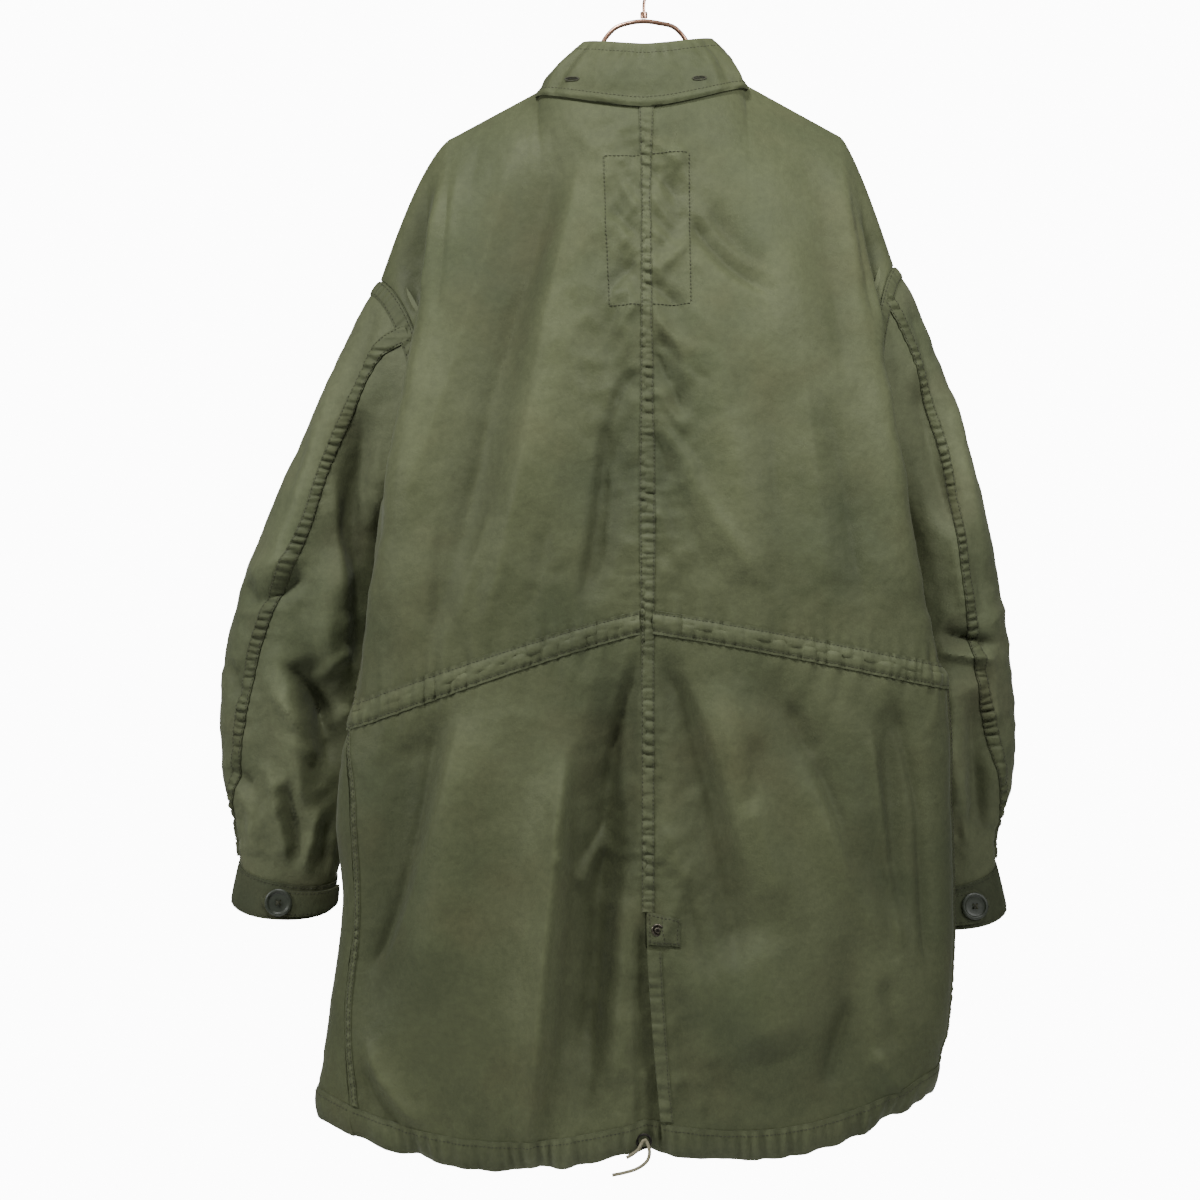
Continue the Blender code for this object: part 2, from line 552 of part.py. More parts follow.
def armhole_thinning(side, v, back, of_sleeve):
    """The direction to thin a wall in at the armhole, at level v behind or in front.

    Round the top, where the faces bend away from each other, both walls share the mitre.
    Lower down they face each other, and each wall keeps its own normal.
    """
    v = np.clip(v, 0, UNDERARM_V)
    body = torso_normals(side * (1 - SIDE_GAP if back else 1 + SIDE_GAP) + 0 * v, v)
    other = torso_normals(side * (1 + SIDE_GAP if back else 1 - SIDE_GAP) + 0 * v, v)
    angle = math.pi * v / UNDERARM_V * (1 if back else -1)
    rows = SLEEVE_LEFT if side < 0 else SLEEVE_RIGHT
    arm = normals(lambda a, b: sleeve_section(rows, a, b), angle, 0.02 + 0 * angle)
    arm = arm if side < 0 else -arm
    at_top, at_foot = (v < 1e-6)[..., None], (v > UNDERARM_V - 1e-6)[..., None]
    bent = (np.sum(body * arm, axis=-1) > 0.3)[..., None]
    own = arm if of_sleeve else np.where(at_foot, mitre(body, other), body)
    return np.where(at_top, mitre(body, other, arm), np.where(bent, mitre(body, arm), own))


def make_torso(cloth):
    grids = {}
    for name, side, back in (
        ("back_left", -1, True), ("back_right", 1, True),
        ("front_left", -1, False), ("front_right", 1, False),
    ):
        points, n = panel_grid(side, back)
        grids[name] = points, n
        wall(name, points, points - n * CLOTH, cloth)
        first, stop = (1, len(BACK_COLUMNS)) if back else (0, FLY_COLUMN + 1)
        top, low = points[WAIST_TOP, first:stop], points[WAIST_LOW, first:stop]
        lines = [top * 0.93 + low * 0.07, top * 0.07 + low * 0.93]
        outward = [n[r, first:stop] for r in (WAIST_TOP, WAIST_LOW)]
        at, wave = places(lines, WAIST_WAVES[name], 0.0008, 0.0008)
        laid_strip("waist_channel_" + name, lines, outward, at, 0.0010 + 0.0022 * wave, cloth)
        casing = make_hem(name, points[-1], n[-1], points[-2], cloth)
        if name == "back_left":
            grids["casing"] = casing
    make_centre_seam(grids, cloth)
    fly = make_fly(grids, cloth)
    return grids, fly


def make_hem(name, edge, out, above, cloth):
    """The drawcord casing below a panel's edge, gathered in waves."""
    at, wave = places([edge], HEM_WAVES[name], 0.0003, 0.0003)
    wave = (2 * wave - 1)[:, None]
    top, out, above = read_at(edge, at), read_at(out, at), read_at(above, at)
    out /= np.linalg.norm(out, axis=-1, keepdims=True)
    down = top - above
    down /= np.linalg.norm(down, axis=-1, keepdims=True)
    start = top + down * HALF_GAP * 2
    end = top + down * (HEM_DEPTH + 0.0012 * np.sin(at * 2.3)[:, None]) - out * 0.005
    outer = np.stack([start + out * (0.0006 + 0.0006 * wave), end + out * 0.0020 * wave])
    inner = outer - out[None] * 0.0026
    wall("hem_casing_" + name, outer, inner, cloth)
    return outer


def make_centre_seam(grids, cloth):
    """The felled seam down the centre back, from the collar to the vent, with its puckers."""
    left, right = grids["back_left"], grids["back_right"]
    lines, outward = [], []
    for (points, n), col in ((left, 1), (left, 0), (right, 1)):
        lines.append(points[: VENT_ROW + 1, col])
        outward.append(n[: VENT_ROW + 1, col])
    at, wave = places(lines, SEAM_WAVES, 0.003, 0.012)
    laid_strip("centre_back_seam", lines, outward, at, 0.0011 + 0.0013 * wave, cloth)


def make_fly(grids, cloth):
    """The flap over the front opening, from the neck seam to the hem."""
    (left, left_n), (right, right_n) = grids["front_left"], grids["front_right"]
    cols = ((left, left_n, FLY_COLUMN), (left, left_n, -1), (right, right_n, -1),
            (right, right_n, FLY_COLUMN))
    base = np.stack([points[:, c] for points, n, c in cols], axis=1)
    out = np.stack([n[:, c] for points, n, c in cols], axis=1)
    inner = base + out * LAY_GAP
    inner[0] = inner[0] * 0.85 + inner[1] * 0.15  # starts just below the neck seam
    outer = inner + out * 0.0022
    wall("fly_flap", outer, inner, cloth)
    return outer, out


# ---------------------------------------------------------------- sleeve pieces
SLEEVE_T = (0.0, 0.04, 0.09, 0.15, 0.22, 0.31, 0.40, 0.49, 0.58, 0.66, 0.74, 0.82, 0.90, 0.96, 1.0)
SLEEVE_OFF = 0.0007  # the sleeve's first ring stands this far off the armhole
UNDERARM_LIFT = 0.0009  # and at the underarm this far above it


def armhole_ring(side, rows):
    """The angles at which the body's rows end round an armhole, and the sleeve's points and
    thinning directions there. The angles go round more than once."""
    meets = np.pi * np.array([v for v in PANEL_ROWS if v <= UNDERARM_V]) / UNDERARM_V
    meets = np.concatenate([meets - 2 * np.pi, -meets[1:], meets, 2 * np.pi - meets[:-1]])
    meets = np.unique(np.round(meets, 6))
    wrapped = (meets + math.pi) % (2 * math.pi) - math.pi
    v = np.abs(wrapped) / math.pi * UNDERARM_V
    n = np.where(
        (wrapped >= 0)[:, None],
        armhole_thinning(side, v, True, True), armhole_thinning(side, v, False, True),
    )
    points = sleeve_section(rows, meets, 0 * meets)
    off = sleeve_section(rows, meets, 0.02 + 0 * meets) - points
    square = n / np.linalg.norm(n, axis=-1, keepdims=True)
    off -= square * np.sum(square * off, axis=-1, keepdims=True)
    points += off / np.linalg.norm(off, axis=-1, keepdims=True) * SLEEVE_OFF
    points[:, 2] += UNDERARM_LIFT * smoothstep((np.abs(wrapped) - 1.9) / 0.5)
    return meets, points, n


def make_sleeve(side, rows, folds, cuff_rows, cloth):
    name = "left" if side < 0 else "right"
    t = np.array(SLEEVE_T)[:, None]
    seam = np.radians(eased(column(rows, SLEEVE_COLUMNS, "t"), column(rows, SLEEVE_COLUMNS, "seam"), t))
    gap = math.radians(0.35)
    under = math.radians(UNDER_SPAN)
    fell = 2 * FELL / 0.066

    meets, ring, ring_n = armhole_ring(side, rows)

    def outer_face(angle, at):
        return sleeve_outer(rows, folds, angle, at)

    def grid(angle):
        """(outer points, directions to thin the wall in) at these angles, seam edge to edge."""
        at = t + 0 * angle
        n = normals(outer_face, angle, at)
        n = n if side < 0 else -n
        points = outer_face(angle, at)
        number = np.interp(angle[0], meets, np.arange(len(meets)))
        points[0], n[0] = read_at(ring, number), read_at(ring_n, number)
        return points, n

    def spread(start, end):
        """Columns that meet the body's own rows at the armhole."""
        inside = meets[(meets > start[0, 0] + 0.02) & (meets < end[0, 0] - 0.02)]
        share = (inside - start[0, 0]) / (end[0, 0] - start[0, 0])
        return start + (end - start) * np.concatenate([[0], share, [1]])[None, :]

    lower, lower_n = grid(spread(seam + gap, seam + under - gap))
    angles = spread(seam - 2 * math.pi + under + gap, seam - gap)
    upper, n = grid(np.concatenate([angles[:, :-1], seam - gap - fell, angles[:, -1:]], axis=1))
    wall(f"sleeve_{name}_under", lower, lower - lower_n * CLOTH, cloth)
    wall(f"sleeve_{name}_upper", upper, upper - n * CLOTH, cloth)
    lines, outward = [upper[:, k] for k in (-2, -1)], [n[:, k] for k in (-2, -1)]
    at = np.concatenate([[0.25], np.arange(1, len(t) - 1), [len(t) - 1.15]])
    laid_strip(f"sleeve_{name}_seam", lines, outward, at, 0.0014, cloth)
    return make_cuff(side, name, cuff_rows, cloth)


def make_cuff(side, name, rows, cloth):
    """The cuff band, the tab buttoned over it, and a point and axes for the button."""
    angle = np.linspace(0, 2 * math.pi, 30, endpoint=False)[None, :]
    t = np.array([0.0, 0.5, 1.0])[:, None]

    def band(a, b):
        return sleeve_section(rows, a, b)

    def outward(a, b):
        n = normals(band, a, b)
        return n if side < 0 else -n

    full_angle, full_t = angle + 0 * t, t + 0 * angle
    outer = band(full_angle, full_t)
    wall(f"cuff_{name}", outer, outer - outward(full_angle, full_t) * 0.0024, cloth, closed=True)
    tab_tip, tab_root, button_at = (67, 168, 86) if side < 0 else (52, 150, 70)
    share = np.linspace(0, 1, 12)[None, :]
    tab_angle = np.radians(tab_tip + (tab_root - tab_tip) * share)
    point = 0.30 * np.clip(1 - share / 0.14, 0, 1)  # the tab's end narrows to a blunt point
    tab_t = np.concatenate([0.16 + point, 0.52 + 0 * share, 0.90 - point])
    tab_angle = tab_angle + 0 * tab_t
    n = outward(tab_angle, tab_t)
    lift = 0.0010
    inner = band(tab_angle, tab_t) + n * lift
    wall(f"cuff_tab_{name}", inner + n * 0.0020, inner, cloth)
    where = np.array([[math.radians(button_at)]])
    middle = np.array([[0.52]])
    seat = (band(where, middle) + outward(where, middle) * (lift + 0.0020 + 0.0006))[0, 0]
    return seat, outward(where, middle)[0, 0]


# ---------------------------------------------------------------- collar
COLLAR_TOP = {"x_left": -0.0610, "x_right": 0.0680, "y_back": -0.044, "y_front": 0.050,
              "z_back": -0.1005, "z_left": -0.0930, "z_right": -0.0895, "z_front": -0.1500}


def collar_top(turn):
    """The collar's top edge; turn is 0 at the centre back, pi at the front, above 0 to the right."""
    s, c = np.sin(turn), np.cos(turn)
    x = np.where(s >= 0, COLLAR_TOP["x_right"], -COLLAR_TOP["x_left"]) * s
    y = np.where(c >= 0, COLLAR_TOP["y_back"], -COLLAR_TOP["y_front"]) * c
    z_side = np.where(s >= 0, COLLAR_TOP["z_right"], COLLAR_TOP["z_left"])
    z_centre = np.where(c >= 0, COLLAR_TOP["z_back"], COLLAR_TOP["z_front"])
    return np.stack([x, y, z_centre + (z_side - z_centre) * np.abs(s) ** 1.5], axis=-1)


def make_collar(grids, cloth):
    """A standing band on the panels' own neck edges."""
    base, turns = [], []
    back_neck = [k for k, share in enumerate(BACK_COLUMNS) if share <= NECK_SHARE]
    front_neck = [k for k, share in enumerate(FRONT_COLUMNS) if share >= 2 - NECK_SHARE]
    for name, side, cols, shares in (
        ("front_left", -1, front_neck[::-1], FRONT_COLUMNS),
        ("back_left", -1, back_neck[:0:-1], BACK_COLUMNS),
        ("back_right", 1, back_neck, BACK_COLUMNS),
        ("front_right", 1, front_neck, FRONT_COLUMNS),
    ):
        points = grids[name][0]
        for k in cols:
            share = shares[k]
            base.append(points[0, k])
            quarter = share if share <= 1 else share - 2 + 2 * NECK_SHARE
            turns.append(side * quarter / NECK_SHARE * math.pi / 2)
    for k in range(len(base) - 1, 0, -1):
        if np.linalg.norm(base[k] - base[k - 1]) < 0.002:  # two panels meet here
            base[k - 1] = (base[k - 1] + base[k]) / 2
            turns[k - 1] = (turns[k - 1] + turns[k]) / 2
            del base[k], turns[k]
    base, turns = np.array(base), np.array(turns)
    around = np.stack([np.sin(turns), -np.cos(turns), 0 * turns], axis=-1)
    low = base + around * 0.0006 + np.array([0.0, 0.0, 0.0011])
    top = collar_top(turns)
    h = np.array([0.0, 0.12, 0.5, 0.82, 1.0])[:, None, None]
    outer = low + (top - low) * h + around * (0.006 * np.sin(math.pi * h))
    slope = (top - low) / np.linalg.norm(top - low, axis=-1, keepdims=True)
    thin = around - slope * np.sum(around * slope, axis=-1, keepdims=True)
    thin /= np.linalg.norm(thin, axis=-1, keepdims=True)
    inner = outer - thin * 0.0026
    inner[0] = low - around * 0.0030
    wall("collar", outer, inner, cloth)


# ---------------------------------------------------------------- turned and bent pieces
def frame_of(normal):
    """Two directions square to normal, the first level."""
    normal = np.asarray(normal, float) / np.linalg.norm(normal)
    level = np.cross((0.0, 0.0, 1.0), normal)
    level /= np.linalg.norm(level)
    return normal, level, np.cross(normal, level)


def turned(name, profile, place, normal, sides, finish):
    """A solid turned about normal: profile lists (radius, height) from the axis to the axis."""
    normal, level, up = frame_of(normal)
    points, rings = [], []
    for radius, height in profile:
        if radius < 1e-6:
            rings.append([len(points)])
            points.append(np.asarray(place) + normal * height)
            continue
        ring = []
        for k in range(sides):
            turn = 2 * math.pi * k / sides
            ring.append(len(points))
            points.append(
                np.asarray(place) + normal * height
                + (level * math.cos(turn) + up * math.sin(turn)) * radius
            )
        rings.append(ring)
    faces = []
    for a, b in zip(rings, rings[1:]):
        for k in range(sides):
            j = (k + 1) % sides
            corners = (a[k % len(a)], a[j % len(a)], b[j % len(b)], b[k % len(b)])
            faces.append(tuple(dict.fromkeys(corners)))
    points = np.array(points)
    if signed_volume(points, faces) < 0:
        faces = [tuple(reversed(face)) for face in faces]
    return add_object(name, points, faces, finish)


def ring_solid(name, place, normal, radius, wire, finish, sides=18, round_sides=6):
    """A ring of round wire."""
    normal, level, up = frame_of(normal)
    points, faces = [], []
    for k in range(sides):
        turn = 2 * math.pi * k / sides
        spoke = level * math.cos(turn) + up * math.sin(turn)
        for j in range(round_sides):
            roll = 2 * math.pi * j / round_sides
            points.append(
                np.asarray(place) + spoke * (radius + wire / 2 * math.cos(roll))
                + normal * wire / 2 * math.sin(roll)
            )
            a, b = k * round_sides + j, k * round_sides + (j + 1) % round_sides
            c = ((k + 1) % sides) * round_sides
            faces.append((a, c + j, c + (j + 1) % round_sides, b))
    points = np.array(points)
    if signed_volume(points, faces) < 0:
        faces = [tuple(reversed(face)) for face in faces]
    return add_object(name, points, faces, finish)


def bent_wire(name, route, diameter, finish, resolution=1):
    """A round wire or cord along a route, read from a smooth curve through its points."""
    curve = bpy.data.curves.new(name, "CURVE")
    curve.dimensions = "3D"
    curve.bevel_depth = diameter / 2
    curve.bevel_resolution = resolution
    curve.use_fill_caps = True
    spline = curve.splines.new("POLY")
    spline.points.add(len(route) - 1)
    for point, place in zip(spline.points, route):
        point.co = (*place, 1.0)
    curve.materials.append(finish)
    made = bpy.data.objects.new(name, curve)
    bpy.context.scene.collection.objects.link(made)
    return made


def smooth_route(points, spacing):
    points = np.asarray(points, float)
    steps = np.concatenate([[0], np.cumsum(np.linalg.norm(np.diff(points, axis=0), axis=1))])
    at = np.linspace(0, steps[-1], max(3, int(steps[-1] / spacing) + 1))
    return eased(steps, points, at)


BUTTON_RADIUS = 0.0135


def make_button(name, seat, normal, finish):
    """A four-hole button with a raised rim, 27 mm across."""
    profile = (
        (0.0, 0.0), (BUTTON_RADIUS * 0.8, 0.0), (BUTTON_RADIUS, 0.0012), (BUTTON_RADIUS, 0.0028),
        (BUTTON_RADIUS * 0.90, 0.0038), (BUTTON_RADIUS * 0.76, 0.0026), (0.0, 0.0024),
    )
    button = turned(name, profile, seat, normal, 16, finish)
    normal, level, up = frame_of(normal)
    for k in range(4):
        turn = math.pi / 4 + k * math.pi / 2
        place = seat + (level * math.cos(turn) + up * math.sin(turn)) * 0.0026
        cutter = turned(
            f"{name}_hole_{k}",
            ((0.0, -0.003), (0.0011, -0.003), (0.0011, 0.008), (0.0, 0.008)),
            place, normal, 5, finish,
        )
        cutter.hide_render = True
        cutter.display_type = "WIRE"
        cut = button.modifiers.new(f"hole_{k}", "BOOLEAN")
        cut.operation = "DIFFERENCE"
        cut.object = cutter
    return button


def make_snaps(fly, metal):
    """Six snap caps down the fly."""
    outer, out = fly
    middle = (outer[:, 1] + outer[:, 2]) / 2
    out = out[:, 1] + out[:, 2]
    for k, height in enumerate(np.linspace(-0.285, -1.000, 6)):
        place = np.array([np.interp(-height, -middle[:, 2], middle[:, j]) for j in range(3)])
        normal = np.array([np.interp(-height, -middle[:, 2], out[:, j]) for j in range(3)])
        seat = place + normal / np.linalg.norm(normal) * 0.0008
        profile = ((0.0, 0.0), (0.0072, 0.0), (0.0075, 0.0008), (0.0058, 0.0022), (0.0, 0.0026))
        turned(f"fly_snap_{k + 1}", profile, seat, normal, 8, metal)


def make_vent(grids, cloth, metal):
    """The patch beside the vent's top and the snap stud on it."""
    points, n = grids["back_right"]
    rows = [VENT_ROW - 0.05, VENT_ROW + 0.85]
    cols = [0.10, 1.40]

    def on_panel(values, r, c):
        r0, c0 = int(r), int(c)
        fr, fc = r - r0, c - c0
        return (
            values[r0, c0] * (1 - fr) * (1 - fc) + values[r0, c0 + 1] * (1 - fr) * fc
            + values[r0 + 1, c0] * fr * (1 - fc) + values[r0 + 1, c0 + 1] * fr * fc
        )

    r_list = [rows[0], VENT_ROW, rows[1]]
    c_list = [cols[0], 1.0, cols[1]]
    base = np.array([[on_panel(points, r, c) for c in c_list] for r in r_list])
    out = np.array([[on_panel(n, r, c) for c in c_list] for r in r_list])
    inner = base + out * 0.0008
    wall("vent_patch", inner + out * 0.0012, inner, cloth)
    place = on_panel(points, VENT_ROW + 0.40, 1.03)
    normal = on_panel(n, VENT_ROW + 0.40, 1.03)
    seat = place + normal * (0.0008 + 0.0012 + 0.0006)
    profile = (
        (0.0, 0.0), (0.0060, 0.0), (0.0060, 0.0010), (0.0046, 0.0018), (0.0034, 0.0010),
        (0.0026, 0.0012), (0.0028, 0.0034), (0.0016, 0.0042), (0.0, 0.0042),
    )
    turned("vent_snap", profile, seat, normal, 14, metal)


# ---------------------------------------------------------------- hem drawcord ends
CORD = 0.0034
EYELET_X = 0.0
# From the eyelet's middle: across, outwards from the casing, and up.
CORD_ROUTE = (
    (-0.0165, 0.0044, -0.0150), (-0.0110, 0.0044, -0.0118), (-0.0050, 0.0044, -0.0070),
    (-0.0020, 0.0040, -0.0010), (0.0010, 0.0036, 0.0018), (0.0034, 0.0042, -0.0020),
    (0.0052, 0.0064, -0.0095), (0.0030, 0.0092, -0.0170), (-0.0060, 0.0102, -0.0240),
    (-0.0180, 0.0100, -0.0280), (-0.0300, 0.0095, -0.0305),
)


def make_drawcord(casing, cord, metal):
    """The eyelet at the end of the left casing, and the lace looped through it."""
    middle = (casing[0] + casing[1]) / 2
    k = int(np.argmin(np.abs(middle[:, 0] - EYELET_X)))
    out = np.cross(casing[1, k] - casing[0, k], middle[k + 1] - middle[k - 1])
    out /= np.linalg.norm(out)
    out = out if out[1] < 0 else -out
    place = middle[k] + out * 0.0014
    ring_solid("hem_eyelet", place, out, 0.0064, 0.0022, metal, sides=12)
    route = [middle[k] + (x, -y, z) for x, y, z in CORD_ROUTE]
    bent_wire("drawcord", smooth_route(route, 0.0055), CORD, cord, resolution=2)


# ---------------------------------------------------------------- hanger
def make_hanger(steel):
    """One bent wire: an arch out of the collar, shoulders to each tip, and a hook on a stem."""
    drop = 0.0077  # keeps the wire under the shoulder seam
    arch = [
        (-0.0400, -0.0920), (-0.0352, -0.0850), (-0.0275, -0.0778), (-0.0150, -0.0734),
        (0.0, ARCH_TOP), (0.0150, -0.0734), (0.0290, -0.0770), (0.0372, -0.0845),
        (0.0420, -0.0915),
    ]
    left = [(-0.1035, NECK_LEFT[1] - drop), (-0.0640, -0.1300), (-0.0470, -0.1100)]
    right = [(0.0480, -0.1090), (0.0640, -0.1280), (0.0985, NECK_RIGHT[1] - drop)]
    bend = smooth_route(np.array([(x, 0.0, z) for x, z in left + arch + right]), 0.011)
    tips = [(-0.1740, 0.0, -0.1785 - drop)], [(0.1800, 0.0, -0.1778 - drop)]
    bent_wire("hanger_frame", np.concatenate([tips[0], bend, tips[1]]), WIRE, steel)
    centre = -HOOK_RADIUS
    reach = HOOK_RADIUS + HOOK_WIRE / 2
    stem_foot = ARCH_TOP + WIRE / 2 + 0.0004
    hook = [(0.0, stem_foot + 0.0070), (0.0, stem_foot + 0.0140), (0.0003, -0.0520)]
    for degrees in (-72, -45, -18, 10, 38, 66, 94, 122, 150, 178, 200):
        turn = math.radians(degrees)
        hook.append((reach * math.cos(turn), centre + reach * math.sin(turn)))
    route = np.array([(x, 0.0, z) for x, z in hook])
    bent_wire("hanger_hook", smooth_route(route, 0.006), HOOK_WIRE, steel)
    nut = ((0.0, 0.0), (0.0030, 0.0), (0.0038, 0.0016), (0.0038, 0.0046), (0.0030, 0.0064),
           (0.0, 0.0064))
    points = turned("hanger_nut", nut, (0.0, 0.0, 0.0), (0.0, -1.0, 0.0), 12, steel)
    for vertex in points.data.vertices:
        x, y, z = vertex.co
        vertex.co = (x, z, stem_foot - y)


# ---------------------------------------------------------------- the whole
def main():
    for old in list(bpy.data.objects):
        bpy.data.objects.remove(old)
    cloth = material("cotton sateen, olive", (0.155, 0.150, 0.078), 0.75)
    button = material("button, dark green plastic", (0.065, 0.072, 0.055), 0.35)
    snap = material("snap, blackened brass", (0.06, 0.058, 0.055), 0.4, 0.9)
    cord = material("drawcord, grey cotton", (0.30, 0.29, 0.22), 0.8)
    steel = material("hanger, plated steel wire", (0.62, 0.50, 0.40), 0.25, 1.0)
    grids, fly = make_torso(cloth)
    for side, rows, folds, cuff in (
        (-1, SLEEVE_LEFT, LEFT_SLEEVE_FOLDS, CUFF_LEFT),
        (1, SLEEVE_RIGHT, RIGHT_SLEEVE_FOLDS, CUFF_RIGHT),
    ):
        seat, normal = make_sleeve(side, rows, folds, cuff, cloth)
        make_button("button_left" if side < 0 else "button_right", seat, normal, button)
    make_collar(grids, cloth)
    make_snaps(fly, snap)
    make_vent(grids, cloth, snap)
    make_drawcord(grids["casing"], cord, snap)
    make_hanger(steel)


main()
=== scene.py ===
"""Looks of a fishtail parka that hangs on a wire hanger, seen from behind.

Metres, +Z up, +X to the wearer's right, +Y to the wearer's front. The cloth is cotton sateen,
hung by its hanger. Each cloth piece is a thin shell on the form of its solid, which the same
tables give, with its creases laid in their own sizes.
"""

import math

import bpy
import numpy as np
from mathutils import Matrix, Vector


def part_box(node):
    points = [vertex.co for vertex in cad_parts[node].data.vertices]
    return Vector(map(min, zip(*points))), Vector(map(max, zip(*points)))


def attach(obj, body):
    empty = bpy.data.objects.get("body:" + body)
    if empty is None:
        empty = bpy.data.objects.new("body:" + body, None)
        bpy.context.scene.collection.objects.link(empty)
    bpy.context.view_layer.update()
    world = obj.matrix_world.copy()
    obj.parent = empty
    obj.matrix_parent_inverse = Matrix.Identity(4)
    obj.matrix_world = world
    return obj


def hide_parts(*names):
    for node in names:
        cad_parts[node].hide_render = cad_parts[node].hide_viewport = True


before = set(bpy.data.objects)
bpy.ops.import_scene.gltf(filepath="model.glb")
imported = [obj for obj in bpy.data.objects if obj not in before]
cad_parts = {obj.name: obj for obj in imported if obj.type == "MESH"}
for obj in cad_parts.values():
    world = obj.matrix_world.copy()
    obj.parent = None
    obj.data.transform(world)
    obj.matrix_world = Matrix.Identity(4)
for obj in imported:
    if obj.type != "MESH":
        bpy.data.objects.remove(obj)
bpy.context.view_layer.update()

# ---------------------------------------------------------------- driving sizes
CLOTH = 0.0012  # one layer of sateen with its fold
CHANNEL = 0.0125  # half the waist channel's height, as a share of a 1 m drop
HEM_DEPTH = 0.024
STITCH, STITCH_GAP, THREAD = 0.0028, 0.0012, 0.00080
BUTTON_RADIUS = 0.0135
RIDGE_Y = 0.0003  # the back and front panels stand this far off the shoulder line
HOOK_WIRE, WIRE, CORD = 0.0031, 0.0046, 0.0034
SIDES = {-1: "left", 1: "right"}  # the wearer's, by the sign of x

# ---------------------------------------------------------------- torso tables
# One row for each level of the body. v runs down the panels, z is the height at the centre
# back, the two sides and the centre front, w the half widths, d the depths behind and in
# front of the side line y_wide, sag the extra drop half way to each side. back is the angle
# from the centre back, in degrees, that the back panel ends at, and front the one that the
# front panel starts at: they part at the armhole. power is the squareness of the front half.
TORSO_COLUMNS = (
    "v", "z_back", "z_left", "z_right", "z_front", "w_left", "w_right", "d_back", "d_front",
    "y_wide", "back_left", "back_right", "front_left", "front_right", "power", "sag_left",
    "sag_right",
)
TORSO_ROWS = (
    (0.10, -0.240, -0.357, -0.352, -0.275, 0.216, 0.220, 0.074, 0.062, -0.026,
     86, 86, 130, 130, 3.00, 0.000, 0.000),
    (0.20, -0.342, -0.446, -0.442, -0.360, 0.230, 0.233, 0.096, 0.076, -0.044,
     93, 93, 133, 133, 3.00, 0.000, 0.000),
    (0.30, -0.443, -0.530, -0.528, -0.450, 0.245, 0.246, 0.108, 0.084, -0.056,
     103, 103, 125, 125, 2.70, 0.000, 0.000),
    (0.38, -0.524, -0.575, -0.570, -0.525, 0.251, 0.253, 0.114, 0.088, -0.058,
     118, 118, 118, 118, 1.90, 0.000, 0.000),
    (0.45, -0.592, -0.640, -0.628, -0.605, 0.267, 0.268, 0.119, 0.092, -0.058,
     108, 110, 108, 110, 1.90, 0.000, 0.000),
    (0.525, -0.659, -0.752, -0.713, -0.735, 0.283, 0.288, 0.116, 0.088, -0.050,
     80, 92, 80, 92, 2.00, 0.000, 0.000),
    (0.64, -0.782, -0.848, -0.825, -0.830, 0.298, 0.295, 0.125, 0.093, -0.045,
     64, 90, 64, 90, 2.00, 0.000, 0.000),
    (0.74, -0.884, -0.928, -0.912, -0.912, 0.292, 0.298, 0.129, 0.096, -0.045,
     66, 89, 66, 89, 2.00, -0.004, -0.004),
    (0.87, -1.010, -1.030, -1.018, -0.985, 0.304, 0.296, 0.133, 0.099, -0.045,
     64, 88, 64, 88, 2.00, -0.014, -0.010),
    (1.00, -1.135, -1.112, -1.090, -1.052, 0.316, 0.283, 0.128, 0.097, -0.045,
     56, 86, 56, 86, 2.00, -0.030, -0.026),
)
BACK_SQUARE = 2.6  # squareness of the back half
UNDERARM_V = 0.38
WAIST_V = 0.525
VENT_V = 0.79  # the centre back is open below this

# The top line: the neck seam round to the neck points, then down the shoulders.
NECK_LEFT, NECK_RIGHT = (-0.1035, -0.1405), (0.0985, -0.1330)
NECK_BACK, NECK_FRONT = (-0.054, -0.1610), (0.062, -0.2120)  # (y, z) at the centres
TIP_LEFT, TIP_RIGHT = (-0.1860, -0.1850), (0.1930, -0.1850)  # ends of the hanger
SHOULDER_LEFT, SHOULDER_RIGHT = (-0.2585, -0.3240), (0.2450, -0.3100)  # armhole tops
NECK_SHARE, TIP_SHARE = 0.30, 0.68  # where the neck and the tip fall across a half back

# ---------------------------------------------------------------- sleeve tables
# One row for each section down the arm: t, the outer and inner points in x and z, the middle
# in y, the depths behind and in front of it, the back seam's angle from the outer point, how
# much lower the section's back side hangs, and how far its back and front curve inwards.
SLEEVE_COLUMNS = (
    "t", "outer_x", "outer_z", "inner_x", "inner_z", "y_mid", "d_back", "d_front", "seam", "tilt",
    "curl",
)
SLEEVE_LEFT = (
    (0.00, -0.2590, -0.3250, -0.2370, -0.5300, 0.010, 0.044, 0.040, 66.3158, 0.000, 0.037),
    (0.07, -0.2826, -0.3600, -0.2490, -0.5385, 0.019, 0.041, 0.046, 60, 0.000, 0.022),
    (0.16, -0.3090, -0.4163, -0.2570, -0.5550, 0.031, 0.041, 0.052, 66, 0.000, 0.010),
    (0.25, -0.3310, -0.4630, -0.2610, -0.5730, 0.041, 0.044, 0.056, 72, 0.000, 0.003),
    (0.40, -0.3697, -0.5499, -0.2650, -0.6050, 0.048, 0.054, 0.060, 79, 0.000, 0.000),
    (0.58, -0.4113, -0.6588, -0.2680, -0.6850, 0.052, 0.054, 0.058, 66, 0.000, 0.000),
    (0.70, -0.4215, -0.7330, -0.2720, -0.7500, 0.055, 0.052, 0.056, 57, 0.000, 0.000),
    (0.82, -0.4180, -0.8083, -0.2810, -0.8150, 0.057, 0.050, 0.052, 44, 0.002, 0.000),
    (0.92, -0.4080, -0.8620, -0.2960, -0.8750, 0.058, 0.042, 0.043, 18, 0.006, 0.000),
    (1.00, -0.4020, -0.8990, -0.3060, -0.9150, 0.058, 0.033, 0.034, 5, 0.012, 0.000),
)
